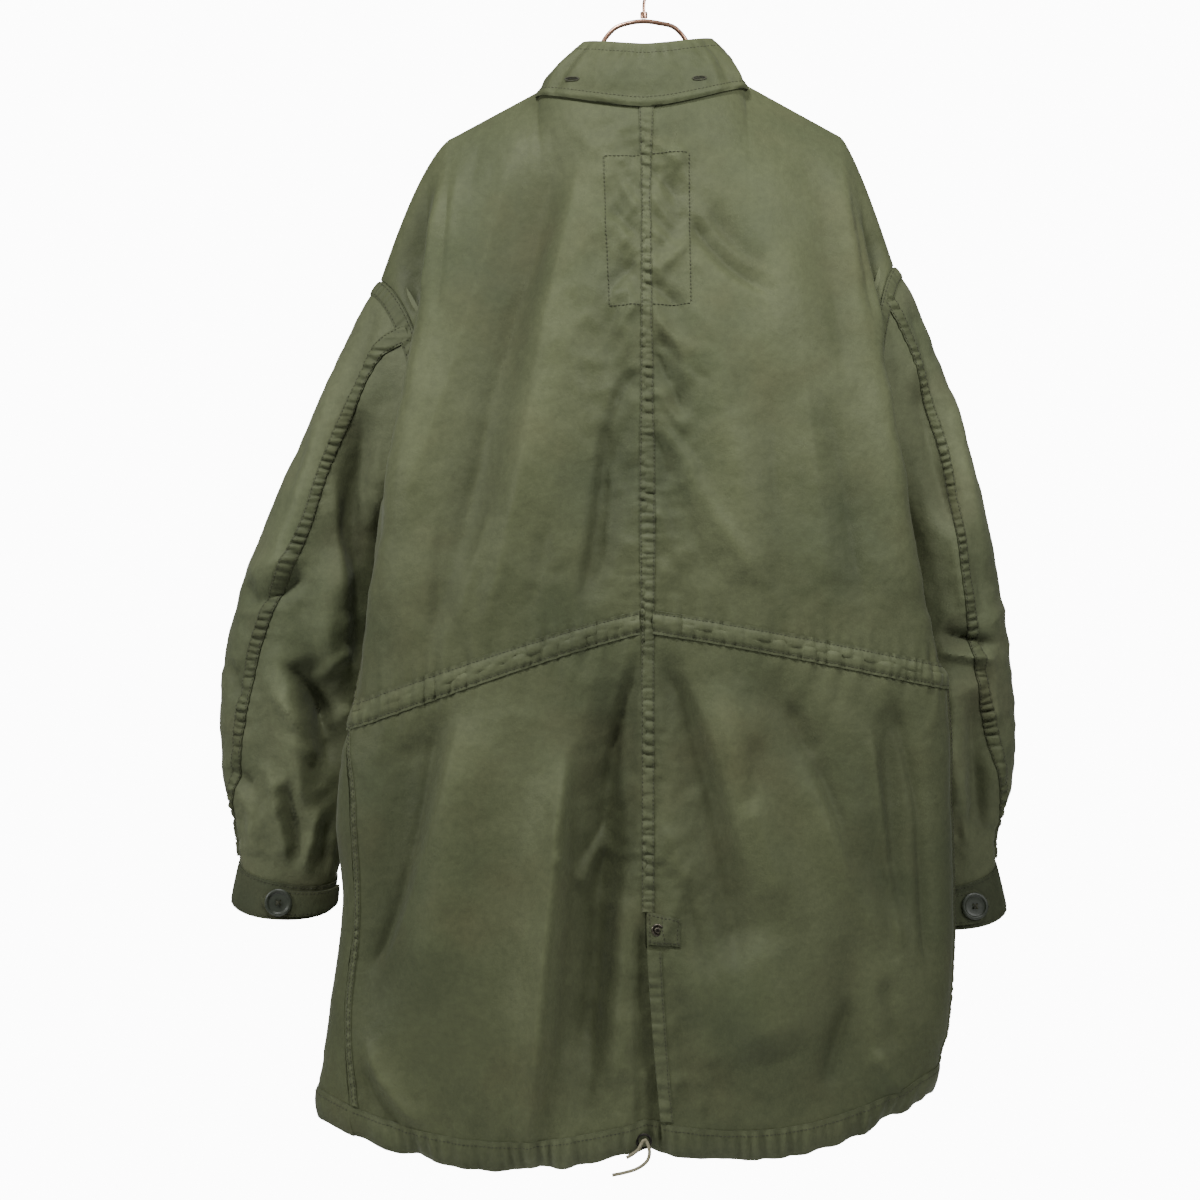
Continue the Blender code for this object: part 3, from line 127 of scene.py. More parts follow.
SLEEVE_RIGHT = (
    (0.00, 0.2460, -0.3110, 0.2380, -0.5300, 0.010, 0.044, 0.040, 47.3684, 0.000, 0.022),
    (0.07, 0.2660, -0.3400, 0.2490, -0.5385, 0.020, 0.041, 0.046, 54, 0.000, 0.014),
    (0.16, 0.2900, -0.3950, 0.2565, -0.5550, 0.033, 0.041, 0.052, 62, 0.000, 0.006),
    (0.25, 0.3110, -0.4560, 0.2590, -0.5740, 0.044, 0.044, 0.056, 69, 0.000, 0.002),
    (0.40, 0.3400, -0.5550, 0.2580, -0.6080, 0.053, 0.054, 0.060, 80, 0.000, 0.000),
    (0.58, 0.3640, -0.6700, 0.2480, -0.6870, 0.060, 0.054, 0.058, 76, 0.000, 0.000),
    (0.70, 0.3700, -0.7350, 0.2420, -0.7500, 0.063, 0.052, 0.056, 66, 0.000, 0.000),
    (0.82, 0.3690, -0.8150, 0.2450, -0.8200, 0.064, 0.050, 0.052, 48, 0.002, 0.000),
    (0.92, 0.3540, -0.8680, 0.2560, -0.8800, 0.064, 0.042, 0.043, 20, 0.006, 0.000),
    (1.00, 0.3520, -0.9010, 0.2620, -0.9200, 0.063, 0.033, 0.034, 5, 0.012, 0.000),
)
# The cuffs carry on from the last section, the same columns.
CUFF_LEFT = (
    (0.0, -0.4035, -0.8995, -0.3045, -0.9155, 0.058, 0.0345, 0.0355, 5, 0.012, 0.000),
    (1.0, -0.4110, -0.9360, -0.3070, -0.9400, 0.059, 0.0365, 0.0365, 5, 0.017, 0.000),
)
CUFF_RIGHT = (
    (0.0, 0.3535, -0.9015, 0.2605, -0.9205, 0.063, 0.0345, 0.0355, 5, 0.012, 0.000),
    (1.0, 0.3630, -0.9440, 0.2610, -0.9500, 0.061, 0.0365, 0.0365, 5, 0.018, 0.000),
)
SLEEVE_SQUARE = 2.2
UNDER_SPAN = 151.5789  # degrees round the arm that the under sleeve takes

# ---------------------------------------------------------------- creases
# Each row is one soft crease on a face, as seen square on: its upper and lower end in x and z,
# how far its middle bows to +x, its half widths towards -x and +x, and its height, below zero
# for a trough. The first rows of each table are the large folds that the solids have too.
BACK_FOLDS = (
    (-0.100, -0.210, -0.178, -0.600, 0, 0.030, 0.030, -0.010),
    (-0.180, -0.215, -0.238, -0.560, 0, 0.020, 0.020, 0.008),
    (-0.052, -0.240, -0.120, -0.560, 0, 0.028, 0.028, 0.007),
    (-0.030, -0.470, -0.046, -0.630, 0, 0.018, 0.018, -0.006),
    (0.112, -0.190, 0.130, -0.420, 0, 0.036, 0.036, 0.005),
    (0.190, -0.200, 0.248, -0.600, 0, 0.020, 0.020, 0.006),
    (0.060, -0.265, 0.112, -0.330, 0, 0.016, 0.016, -0.006),
    (0.055, -0.330, 0.100, -0.600, 0, 0.026, 0.026, 0.006),
    (-0.200, -0.700, -0.266, -1.030, 0, 0.030, 0.030, -0.010),
    (-0.165, -0.755, -0.215, -1.000, 0, 0.028, 0.028, 0.010),
    (-0.078, -0.790, -0.108, -1.120, 0, 0.024, 0.012, 0.0145),
    (-0.026, -0.720, -0.062, -1.090, 0, 0.020, 0.022, -0.026),
    (0.030, -0.690, 0.090, -0.990, 0, 0.024, 0.018, -0.009),
    (0.066, -0.730, 0.130, -0.930, 0, 0.020, 0.020, 0.010),
    (0.105, -0.690, 0.190, -0.850, 0, 0.022, 0.022, -0.006),
    (0.150, -0.790, 0.215, -0.960, 0, 0.020, 0.020, 0.009),
    (0.232, -0.740, 0.240, -0.960, 0, 0.018, 0.018, -0.008),
    (0.212, -0.860, 0.180, -1.100, 0, 0.024, 0.020, -0.007),
    (0.090, -0.960, 0.120, -1.060, 0, 0.035, 0.035, 0.010),
    # where the back stands over the sleeves
    (-0.212, -0.200, -0.246, -0.450, 0.004, 0.020, 0.009, -0.0130),
    (0.208, -0.190, 0.256, -0.440, -0.004, 0.009, 0.020, -0.0130),
    # finer creases of the upper back
    (-0.086, -0.195, -0.149, -0.440, 0.004, 0.010, 0.018, -0.0040),
    (-0.149, -0.440, -0.204, -0.680, 0.003, 0.009, 0.018, -0.0045),
    (-0.128, -0.205, -0.223, -0.540, 0.004, 0.010, 0.010, 0.0030),
    (-0.054, -0.200, -0.107, -0.440, -0.004, 0.012, 0.010, 0.0025),
    (-0.107, -0.440, -0.154, -0.670, 0.004, 0.012, 0.009, 0.0035),
    (-0.196, -0.565, -0.203, -0.680, 0, 0.006, 0.008, -0.0035),
    (-0.036, -0.365, -0.033, -0.430, 0, 0.006, 0.007, -0.0022),
    (-0.016, -0.405, -0.036, -0.485, 0, 0.003, 0.012, -0.0035),
    (-0.036, -0.475, -0.060, -0.645, 0.002, 0.0035, 0.016, -0.0048),
    (-0.045, -0.470, -0.068, -0.640, 0.002, 0.008, 0.004, 0.0022),
    (0.010, -0.380, 0.062, -0.432, -0.006, 0.005, 0.005, -0.0024),
    (0.008, -0.372, 0.052, -0.405, -0.004, 0.005, 0.004, 0.0020),
    (0.008, -0.438, 0.052, -0.508, -0.004, 0.005, 0.005, -0.0026),
    (0.014, -0.455, 0.048, -0.512, -0.004, 0.006, 0.004, 0.0020),
    (0.010, -0.500, 0.030, -0.585, 0, 0.005, 0.005, -0.0018),
    (0.044, -0.272, 0.116, -0.345, -0.008, 0.004, 0.010, -0.0050),
    (0.052, -0.262, 0.122, -0.330, -0.008, 0.008, 0.004, 0.0028),
    (0.026, -0.490, 0.112, -0.625, -0.004, 0.010, 0.010, 0.0036),
    (0.012, -0.490, 0.070, -0.620, -0.004, 0.008, 0.008, -0.0024),
    (0.165, -0.215, 0.190, -0.420, 0.004, 0.018, 0.018, -0.0035),
    (0.176, -0.450, 0.208, -0.640, 0, 0.010, 0.010, -0.0030),
    (0.150, -0.420, 0.176, -0.640, 0, 0.012, 0.010, 0.0028),
    (0.120, -0.440, 0.130, -0.640, 0, 0.010, 0.010, -0.0022),
    (0.201, -0.230, 0.216, -0.370, 0, 0.006, 0.006, -0.0030),
    (0.212, -0.230, 0.228, -0.400, 0, 0.006, 0.006, 0.0030),
    (-0.199, -0.228, -0.211, -0.350, 0, 0.006, 0.006, 0.0032),
    (-0.188, -0.240, -0.196, -0.360, 0, 0.006, 0.006, -0.0030),
    (-0.160, -0.190, -0.172, -0.250, 0, 0.008, 0.008, -0.0020),
    (-0.150, -0.560, -0.184, -0.672, 0, 0.006, 0.008, 0.0026),
    (-0.092, -0.560, -0.110, -0.660, 0, 0.007, 0.007, -0.0024),
    # short puckers that run out of the felled centre seam
    (0.004, -0.196, 0.034, -0.222, 0.002, 0.006, 0.007, 0.0034),
    (0.006, -0.226, 0.033, -0.262, 0.003, 0.006, 0.007, -0.0036),
    (0.005, -0.250, 0.030, -0.281, -0.002, 0.006, 0.006, 0.0040),
    (0.007, -0.306, 0.038, -0.266, -0.003, 0.006, 0.008, -0.0042),
    (0.004, -0.326, 0.044, -0.292, -0.003, 0.006, 0.006, 0.0034),
    (0.005, -0.338, 0.034, -0.362, 0.002, 0.006, 0.007, -0.0034),
    (0.008, -0.366, 0.041, -0.430, 0.004, 0.007, 0.008, 0.0040),
    (0.004, -0.398, 0.036, -0.462, 0.003, 0.006, 0.007, -0.0042),
    (0.006, -0.438, 0.034, -0.480, 0.002, 0.006, 0.006, 0.0034),
    (0.004, -0.482, 0.026, -0.522, 0.002, 0.006, 0.007, -0.0030),
    (0.005, -0.540, 0.024, -0.588, 0.002, 0.006, 0.007, 0.0026),
    (-0.004, -0.205, -0.026, -0.226, 0.002, 0.006, 0.006, -0.0030),
    (-0.003, -0.268, -0.021, -0.240, 0.002, 0.006, 0.006, 0.0036),
    (-0.004, -0.290, -0.030, -0.262, 0.002, 0.006, 0.007, -0.0036),
    (-0.005, -0.308, -0.027, -0.280, 0.002, 0.006, 0.006, 0.0032),
    (-0.009, -0.314, -0.039, -0.352, -0.002, 0.007, 0.006, -0.0034),
    (-0.004, -0.352, -0.026, -0.384, -0.002, 0.006, 0.006, 0.0030),
    (-0.005, -0.420, -0.028, -0.452, -0.002, 0.006, 0.006, -0.0028),
    (-0.004, -0.500, -0.022, -0.548, -0.002, 0.006, 0.006, -0.0024),
    # finer creases of the skirt
    (-0.074, -0.790, -0.091, -0.975, 0.002, 0.014, 0.0055, 0.0070),
    (-0.091, -0.965, -0.110, -1.150, 0.003, 0.014, 0.0055, 0.0070),
    (-0.066, -0.800, -0.084, -1.100, 0.002, 0.004, 0.010, -0.0045),
    (-0.085, -0.878, -0.056, -0.909, 0, 0.005, 0.005, 0.0036),
    (-0.060, -0.908, -0.012, -0.815, 0.004, 0.005, 0.007, 0.0038),
    (-0.070, -0.900, -0.020, -0.830, 0.004, 0.006, 0.006, -0.0034),
    (-0.005, -0.680, -0.034, -0.778, 0.002, 0.009, 0.012, -0.0050),
    (-0.020, -0.688, -0.046, -0.800, 0.002, 0.007, 0.005, 0.0034),
    (-0.202, -0.745, -0.227, -0.896, 0.004, 0.007, 0.012, -0.0050),
    (-0.227, -0.890, -0.264, -0.985, 0.004, 0.007, 0.011, -0.0055),
    (-0.175, -0.745, -0.212, -0.896, 0.003, 0.009, 0.008, 0.0035),
    (-0.212, -0.890, -0.254, -0.995, 0.003, 0.009, 0.008, 0.0035),
    (-0.264, -1.060, -0.212, -1.136, -0.006, 0.008, 0.010, 0.0060),
    (-0.270, -1.085, -0.225, -1.145, -0.006, 0.006, 0.006, -0.0040),
    (-0.020, -0.900, -0.030, -1.100, 0, 0.010, 0.009, 0.0035),
    (-0.040, -0.940, -0.054, -1.110, 0, 0.006, 0.006, -0.0030),
    (0.012, -0.680, 0.052, -0.797, 0.002, 0.0100, 0.012, -0.0040),
    (0.052, -0.790, 0.079, -0.917, 0.004, 0.0100, 0.012, -0.0040),
    (0.079, -0.910, 0.084, -0.985, 0, 0.009, 0.010, -0.0030),
    (0.030, -0.690, 0.094, -0.900, 0.006, 0.005, 0.009, 0.0042),
    (0.015, -0.850, 0.040, -0.905, 0, 0.012, 0.012, 0.0040),
    (0.036, -0.915, 0.063, -0.992, 0, 0.004, 0.007, -0.0040),
    (0.034, -0.920, 0.014, -0.960, 0, 0.005, 0.005, 0.0026),
    (0.136, -0.742, 0.158, -0.785, 0, 0.006, 0.010, -0.0040),
    (0.158, -0.780, 0.200, -0.900, 0, 0.007, 0.011, -0.0055),
    (0.105, -0.770, 0.098, -0.835, 0, 0.010, 0.010, -0.0048),
    (0.215, -0.768, 0.232, -0.896, 0, 0.005, 0.006, 0.0042),
    (0.232, -0.890, 0.243, -0.965, 0, 0.005, 0.006, 0.0036),
    (0.236, -0.733, 0.263, -0.849, 0.003, 0.005, 0.008, -0.0050),
    (0.262, -0.845, 0.269, -0.985, 0, 0.006, 0.008, -0.0050),
    (0.044, -0.975, 0.066, -1.080, 0, 0.014, 0.012, 0.0034),
    (0.030, -1.010, 0.040, -1.110, 0, 0.008, 0.008, -0.0030),
    (0.195, -1.020, 0.173, -1.095, -0.002, 0.009, 0.007, -0.0048),
    (0.215, -1.065, 0.243, -1.110, 0, 0.008, 0.009, 0.0055),
    (0.228, -1.000, 0.236, -1.060, 0, 0.008, 0.008, -0.0034),
)
FRONT_FOLDS = (
    (-0.140, -0.240, -0.185, -0.620, 0, 0.026, 0.026, -0.008),
    (-0.090, -0.250, -0.110, -0.600, 0, 0.024, 0.024, 0.006),
    (0.095, -0.250, 0.130, -0.640, 0, 0.024, 0.024, -0.007),
    (0.150, -0.240, 0.190, -0.600, 0, 0.024, 0.024, 0.007),
    (-0.085, -0.790, -0.115, -1.040, 0, 0.024, 0.024, -0.012),
    (-0.155, -0.790, -0.190, -1.030, 0, 0.028, 0.028, 0.012),
    (0.085, -0.790, 0.105, -1.040, 0, 0.024, 0.024, 0.011),
    (0.150, -0.780, 0.180, -1.020, 0, 0.026, 0.026, -0.012),
    # finer creases
    (-0.150, -0.260, -0.120, -0.420, -0.006, 0.008, 0.010, -0.0030),
    (-0.110, -0.280, -0.070, -0.400, -0.004, 0.006, 0.006, 0.0024),
    (-0.060, -0.420, -0.150, -0.560, 0.004, 0.008, 0.006, -0.0026),
    (-0.200, -0.420, -0.215, -0.640, 0, 0.010, 0.008, 0.0030),
    (0.120, -0.260, 0.075, -0.430, 0.006, 0.008, 0.010, -0.0030),
    (0.160, -0.330, 0.215, -0.560, 0, 0.008, 0.008, 0.0028),
    (0.060, -0.460, 0.140, -0.600, -0.004, 0.007, 0.007, -0.0026),
    (-0.060, -0.760, -0.070, -0.960, 0, 0.009, 0.006, 0.0036),
    (-0.130, -0.760, -0.145, -0.900, 0, 0.007, 0.009, -0.0036),
    (-0.210, -0.780, -0.240, -0.960, 0, 0.009, 0.007, -0.0040),
    (-0.100, -0.900, -0.120, -1.060, 0, 0.007, 0.007, 0.0030),
    (0.055, -0.770, 0.070, -0.900, 0, 0.006, 0.009, -0.0036),
    (0.120, -0.760, 0.140, -0.930, 0, 0.007, 0.007, 0.0034),
    (0.210, -0.770, 0.225, -0.960, 0, 0.009, 0.007, -0.0040),
    (0.090, -0.920, 0.100, -1.050, 0, 0.010, 0.008, -0.0032),
)
LEFT_SLEEVE_FOLDS = (
    (-0.300, -0.420, -0.372, -0.640, 0, 0.016, 0.016, 0.006),
    (-0.275, -0.450, -0.300, -0.600, 0, 0.016, 0.016, -0.008),
    (-0.300, -0.600, -0.318, -0.720, 0, 0.016, 0.016, 0.007),
    (-0.352, -0.700, -0.335, -0.850, 0, 0.014, 0.014, 0.007),
    (-0.325, -0.690, -0.305, -0.800, 0, 0.014, 0.014, -0.010),
    # finer creases
    (-0.262, -0.350, -0.290, -0.440, 0, 0.006, 0.006, -0.0026),
    (-0.330, -0.470, -0.352, -0.560, 0, 0.007, 0.007, -0.0026),
    (-0.3025, -0.520, -0.2950, -0.690, 0.002, 0.012, 0.007, 0.0060),
    (-0.2800, -0.480, -0.2790, -0.700, 0, 0.010, 0.010, -0.0060),
    (-0.3806, -0.643, -0.3347, -0.617, -0.003, 0.006, 0.010, -0.0050),
    (-0.3940, -0.624, -0.3806, -0.645, 0, 0.007, 0.007, -0.0040),
    (-0.3900, -0.612, -0.3400, -0.598, 0, 0.010, 0.008, 0.0030),
    (-0.3653, -0.725, -0.3228, -0.796, 0.004, 0.008, 0.007, 0.0060),
    (-0.3500, -0.703, -0.3093, -0.765, 0.004, 0.008, 0.008, -0.0065),
    (-0.3228, -0.721, -0.2923, -0.688, 0, 0.007, 0.008, 0.0050),
    (-0.3090, -0.765, -0.2880, -0.745, 0, 0.007, 0.008, 0.0036),
    (-0.4128, -0.702, -0.3975, -0.735, 0, 0.007, 0.008, -0.0036),
    (-0.4094, -0.806, -0.3874, -0.823, 0, 0.007, 0.007, -0.0036),
    (-0.3704, -0.800, -0.3517, -0.895, 0.002, 0.007, 0.007, 0.0046),
    (-0.3483, -0.815, -0.3398, -0.900, 0, 0.006, 0.007, -0.0050),
    (-0.3195, -0.840, -0.3364, -0.905, 0, 0.006, 0.007, 0.0042),
    (-0.3080, -0.850, -0.3150, -0.905, 0, 0.006, 0.006, -0.0040),
    (-0.3900, -0.830, -0.3820, -0.890, 0, 0.007, 0.006, 0.0030),
)
RIGHT_SLEEVE_FOLDS = (
    (0.270, -0.420, 0.300, -0.560, 0, 0.015, 0.015, -0.007),
    (0.300, -0.420, 0.330, -0.600, 0, 0.014, 0.014, 0.006),
    (0.300, -0.700, 0.308, -0.850, 0, 0.014, 0.014, 0.007),
    (0.325, -0.740, 0.330, -0.860, 0, 0.013, 0.013, -0.008),
    # finer creases
    (0.262, -0.345, 0.284, -0.430, 0, 0.006, 0.006, -0.0026),
    (0.318, -0.560, 0.336, -0.650, 0, 0.006, 0.007, -0.0030),
    (0.300, -0.570, 0.316, -0.655, 0, 0.006, 0.006, 0.0028),
    (0.292, -0.672, 0.345, -0.682, 0, 0.005, 0.005, -0.0060),
    (0.290, -0.690, 0.343, -0.698, 0, 0.005, 0.005, 0.0050),
    (0.345, -0.700, 0.352, -0.830, 0, 0.005, 0.006, 0.0030),
    (0.332, -0.800, 0.340, -0.872, 0, 0.004, 0.005, -0.0032),
    (0.312, -0.800, 0.318, -0.880, 0, 0.004, 0.005, 0.0030),
    (0.290, -0.780, 0.292, -0.870, 0, 0.005, 0.005, -0.0030),
)


# ---------------------------------------------------------------- small maths
def smoothstep(x):
    """Rises from 0 to 1 as x does, level at both ends."""
    x = np.clip(x, 0.0, 1.0)
    return x * x * (3 - 2 * x)


def eased(keys, values, at):
    """A smooth curve through values[k] at keys[k], read at each number of at."""
    keys, values, at = np.asarray(keys, float), np.asarray(values, float), np.asarray(at, float)
    steps = np.diff(keys).reshape((-1,) + (1,) * (values.ndim - 1))
    slopes = np.diff(values, axis=0) / steps
    tangents = np.concatenate([slopes[:1], (slopes[1:] + slopes[:-1]) / 2, slopes[-1:]])
    i = np.clip(np.searchsorted(keys, at, side="right") - 1, 0, len(keys) - 2)
    shape = at.shape + (1,) * (values.ndim - 1)
    width = (keys[i + 1] - keys[i]).reshape(shape)
    s = ((at - keys[i]).reshape(shape)) / width
    return (
        values[i] * (2 * s**3 - 3 * s**2 + 1)
        + tangents[i] * width * (s**3 - 2 * s**2 + s)
        + values[i + 1] * (3 * s**2 - 2 * s**3)
        + tangents[i + 1] * width * (s**3 - s**2)
    )


def column(rows, names, name):
    """One named column of a table."""
    return np.array([row[names.index(name)] for row in rows], float)


def fold_height(folds, x, z):
    """The height of all creases of one face over the points x, z."""
    height = np.zeros(np.shape(x))
    for x0, z0, x1, z1, bow, half_left, half_right, tall in folds:
        run_x, run_z = x1 - x0, z1 - z0
        length = math.hypot(run_x, run_z)
        along = ((x - x0) * run_x + (z - z0) * run_z) / length**2
        across = ((z - z0) * run_x - (x - x0) * run_z) / length
        across = across - bow * np.clip(1 - (2 * along - 1) ** 2, 0, 1)
        off = np.abs(across) / np.maximum(np.where(across < 0, half_left, half_right), 0.0055)
        crisp = 1.6 + 0.4 * smoothstep((half_left + half_right - 0.02) / 0.06)  # broad folds are rounder
        fade = smoothstep((along + 0.12) / 0.35) * smoothstep((1.15 - along) / 0.35)
        height += tall * np.exp(-(off**crisp)) * fade
    return height


# Uneven waves of worn cloth: the direction of each in degrees, its length in millimetres, its
# height in millimetres and where it starts.
RUMPLES = (
    (78, 96, 0.85, 0.3), (102, 71, 0.60, 1.9), (64, 58, 0.48, 4.1), (118, 47, 0.38, 2.6),
    (12, 83, 0.42, 5.2), (40, 39, 0.26, 0.9), (141, 33, 0.22, 3.3), (88, 27, 0.20, 1.1),
    (27, 22, 0.13, 2.2), (155, 18, 0.11, 4.8), (70, 15, 0.09, 0.4), (110, 12, 0.07, 3.9),
)


def rumple(x, z):
    """Small uneven waves, in metres; each bends a little so that none runs on like a rib."""
    height = np.zeros(np.shape(x))
    for degrees, length, tall, start in RUMPLES:
        turn = math.radians(degrees)
        run = (x * math.sin(turn) + z * math.cos(turn)) * 1000 / length
        side = (x * math.cos(turn) - z * math.sin(turn)) * 1000 / length
        bend = 0.9 * np.sin(side * 1.7 + start * 3) + 0.5 * np.sin(side * 3.1 + run * 0.8)
        loud = 0.55 + 0.45 * np.sin(side * 0.9 + run * 0.37 + start * 5)
        height += tall / 1000 * loud * np.sin(2 * math.pi * run + start + bend)
    return height


# Sharp small creases of washed cloth: the direction in degrees, the length and height in
# millimetres, and where it starts.
CRUMPLES = (
    (35, 61, 1.30, 0.4), (128, 49, 1.05, 2.2), (82, 74, 1.00, 4.0), (8, 55, 0.80, 1.3),
    (61, 33, 0.62, 3.1), (149, 29, 0.50, 5.5), (104, 37, 0.60, 0.9), (21, 23, 0.36, 2.8),
    (73, 19, 0.26, 4.4), (137, 16, 0.20, 1.7), (95, 13, 0.15, 3.6),
)


def crumple(x, z):
    """Sharp uneven creases, in metres, that run into and across each other."""
    height = np.zeros(np.shape(x))
    for degrees, length, tall, start in CRUMPLES:
        turn = math.radians(degrees)
        run = (x * math.sin(turn) + z * math.cos(turn)) * 1000 / length
        side = (x * math.cos(turn) - z * math.sin(turn)) * 1000 / length
        bend = 0.75 * np.sin(side * 1.3 + start * 4) + 0.6 * np.sin(side * 2.9 + run * 1.1 + start)
        loud = smoothstep(0.5 + 0.75 * np.sin(side * 0.83 + run * 0.51 + start * 7))
        wave = np.abs(np.sin(math.pi * run + start + bend))
        height += tall / 1000 * loud * (0.62 - wave**0.75)
    return height


def near(value, middle, reach):
    """1 at the middle, falling softly to 0 past the reach."""
    return np.exp(-(((value - middle) / reach) ** 2))


def gathers(s, pitch, start=0.0):
    """Uneven pinches along a seam, from -1 in the pinch to 1 on the crest; s in metres."""
    run = s / pitch
    uneven = 0.42 * np.sin(run * 0.83 + start) + 0.30 * np.sin(run * 1.97 + start * 2.3)
    wave = np.sin(2 * math.pi * (run + 0.34 * uneven) + start)
    loud = 0.62 + 0.38 * np.sin(run * 0.61 + start * 1.7)
    return wave * loud


def pinched(wave):
    """Turns a wave of -1 to 1 into rounded bumps with narrow pits between them."""
    return 1 - 2 * (1 - (wave + 1) / 2) ** 2.2


def normals(form, a, b, step=0.002, low=-1e9, high=1e9):
    """Unit normals of form(a, b), where b runs down it, a staying between low and high."""
    a0, a1 = np.clip(a - step, low, high), np.clip(a + step, low, high)
    b0, b1 = np.clip(b - step, 0.0, 1.0), np.clip(b + step, 0.0, 1.0)
    across = form(a1, b) - form(a0, b)
    down = form(a, b1) - form(a, b0)
    n = np.cross(down, across)
    return n / np.maximum(np.linalg.norm(n, axis=-1, keepdims=True), 1e-9)


# ---------------------------------------------------------------- torso form
def shoulder_line(u):
    """The top line of the panels at each u: 0 centre back, 1 armhole, 2 centre front."""
    share = np.where(np.abs(u) <= 1, np.abs(u), 2 - np.abs(u))
    right, back = u >= 0, np.abs(u) <= 1
    neck, tip, shoulder = (
        np.where(right[..., None], r, l)
        for l, r in ((NECK_LEFT, NECK_RIGHT), (TIP_LEFT, TIP_RIGHT), (SHOULDER_LEFT, SHOULDER_RIGHT))
    )
    turn = np.clip(share / NECK_SHARE, 0, 1) * math.pi / 2
    centre_y = np.where(back, NECK_BACK[0], NECK_FRONT[0])
    centre_z = np.where(back, NECK_BACK[1], NECK_FRONT[1])
    x = neck[..., 0] * np.sin(turn)
    y = centre_y * np.cos(turn)
    z = centre_z + (neck[..., 1] - centre_z) * np.sin(turn) ** 1.5
    along = np.clip((share - NECK_SHARE) / (TIP_SHARE - NECK_SHARE), 0, 1)
    down = np.clip((share - TIP_SHARE) / (1 - TIP_SHARE), 0, 1)
    bent_down = down ** np.where(right, 0.8, 0.66)
    x = x + (tip[..., 0] - neck[..., 0]) * along + (shoulder[..., 0] - tip[..., 0]) * bent_down
    z = z + (tip[..., 1] - neck[..., 1]) * along + (shoulder[..., 1] - tip[..., 1]) * down
    side = np.where(back, -1.0, 1.0)
    y = y + side * RIDGE_Y * smoothstep((share - 0.15) / 0.2)
    return np.stack([x, y, z], axis=-1)


def torso_row(row, u):
    """One level of the body at each u: a superellipse, squarer behind than in front."""
    get = dict(zip(TORSO_COLUMNS, row)).__getitem__
    right = u >= 0
    a = np.abs(u)
    back_end = np.where(right, get("back_right"), get("back_left"))
    front_start = np.where(right, get("front_right"), get("front_left"))
    angle = np.radians(
        np.where(a <= 1, a * back_end, front_start + (a - 1) * (180 - front_start))
    )
    s, c = np.abs(np.sin(angle)), np.cos(angle)
    power = np.where(c >= 0, BACK_SQUARE, get("power"))
    r = (s**power + np.abs(c) ** power) ** (-1 / power)
    x_share = s * r
    x = np.where(right, get("w_right"), -get("w_left")) * x_share
    y_wide = get("y_wide")
    y = y_wide + np.where(
        c >= 0, -(get("d_back") + y_wide) * c * r, (get("d_front") - y_wide) * -c * r
    )
    z_side = np.where(right, get("z_right"), get("z_left"))
    z_centre = np.where(c >= 0, get("z_back"), get("z_front"))
    sag = np.where(right, get("sag_right"), get("sag_left")) * np.where(c >= 0, 1.0, 0.3)
    z = z_centre + (z_side - z_centre) * x_share**1.15 + sag * np.sin(math.pi * x_share)
    return np.stack([x, y, z], axis=-1)


def sleeve_section(rows, angle, t):
    """Points round the arm: angle 0 at the outer point, 90 degrees behind, 180 inside."""
    get = {n: eased(column(rows, SLEEVE_COLUMNS, "t"), column(rows, SLEEVE_COLUMNS, n), t)
           for n in SLEEVE_COLUMNS}
    s, c = np.sin(angle), np.cos(angle)
    r = (np.abs(s) ** SLEEVE_SQUARE + np.abs(c) ** SLEEVE_SQUARE) ** (-1 / SLEEVE_SQUARE)
    across = c * r
    x = (get["outer_x"] + get["inner_x"]) / 2 + (get["outer_x"] - get["inner_x"]) / 2 * across
    z = (get["outer_z"] + get["inner_z"]) / 2 + (get["outer_z"] - get["inner_z"]) / 2 * across
    y = get["y_mid"] - np.where(s >= 0, get["d_back"], get["d_front"]) * s * r
    x = x - np.sign(rows[0][1]) * get["curl"] * np.abs(s) ** 1.5
    return np.stack([x, y, z - get["tilt"] * s * r], axis=-1)


def at_level(levels, v):
    """Reads a stack of rows at v, smoothly from row to row."""
    key = np.array([0.0] + [row[0] for row in TORSO_ROWS])
    i = np.clip(np.searchsorted(key, v, side="right") - 1, 0, len(key) - 2)
    slopes = np.diff(levels, axis=0) / np.diff(key).reshape(-1, *([1] * (levels.ndim - 1)))
    tangents = np.concatenate([slopes[:1], (slopes[1:] + slopes[:-1]) / 2, slopes[-1:]])
    tangents[0, ..., 1] *= 2.2  # the cloth leaves the shoulder line rounded, not straight
    width = (key[i + 1] - key[i])[..., None]
    s = (v - key[i])[..., None] / width
    pick = np.ogrid[tuple(slice(n) for n in v.shape)]

    def at(values, k):
        return values[(k, *pick)]

    return (
        at(levels, i) * (2 * s**3 - 3 * s**2 + 1)
        + at(tangents, i) * width * (s**3 - 2 * s**2 + s)
        + at(levels, i + 1) * (3 * s**2 - 2 * s**3)
        + at(tangents, i + 1) * width * (s**3 - s**2)
    )


def edge_rings(edge_u, back):
    """The rows' ends at the armholes, back and front."""
    just_inside = edge_u * np.where(back, 1 - 1e-6, 1 + 1e-6)
    return np.stack([shoulder_line(just_inside)] + [torso_row(row, just_inside) for row in TORSO_ROWS])


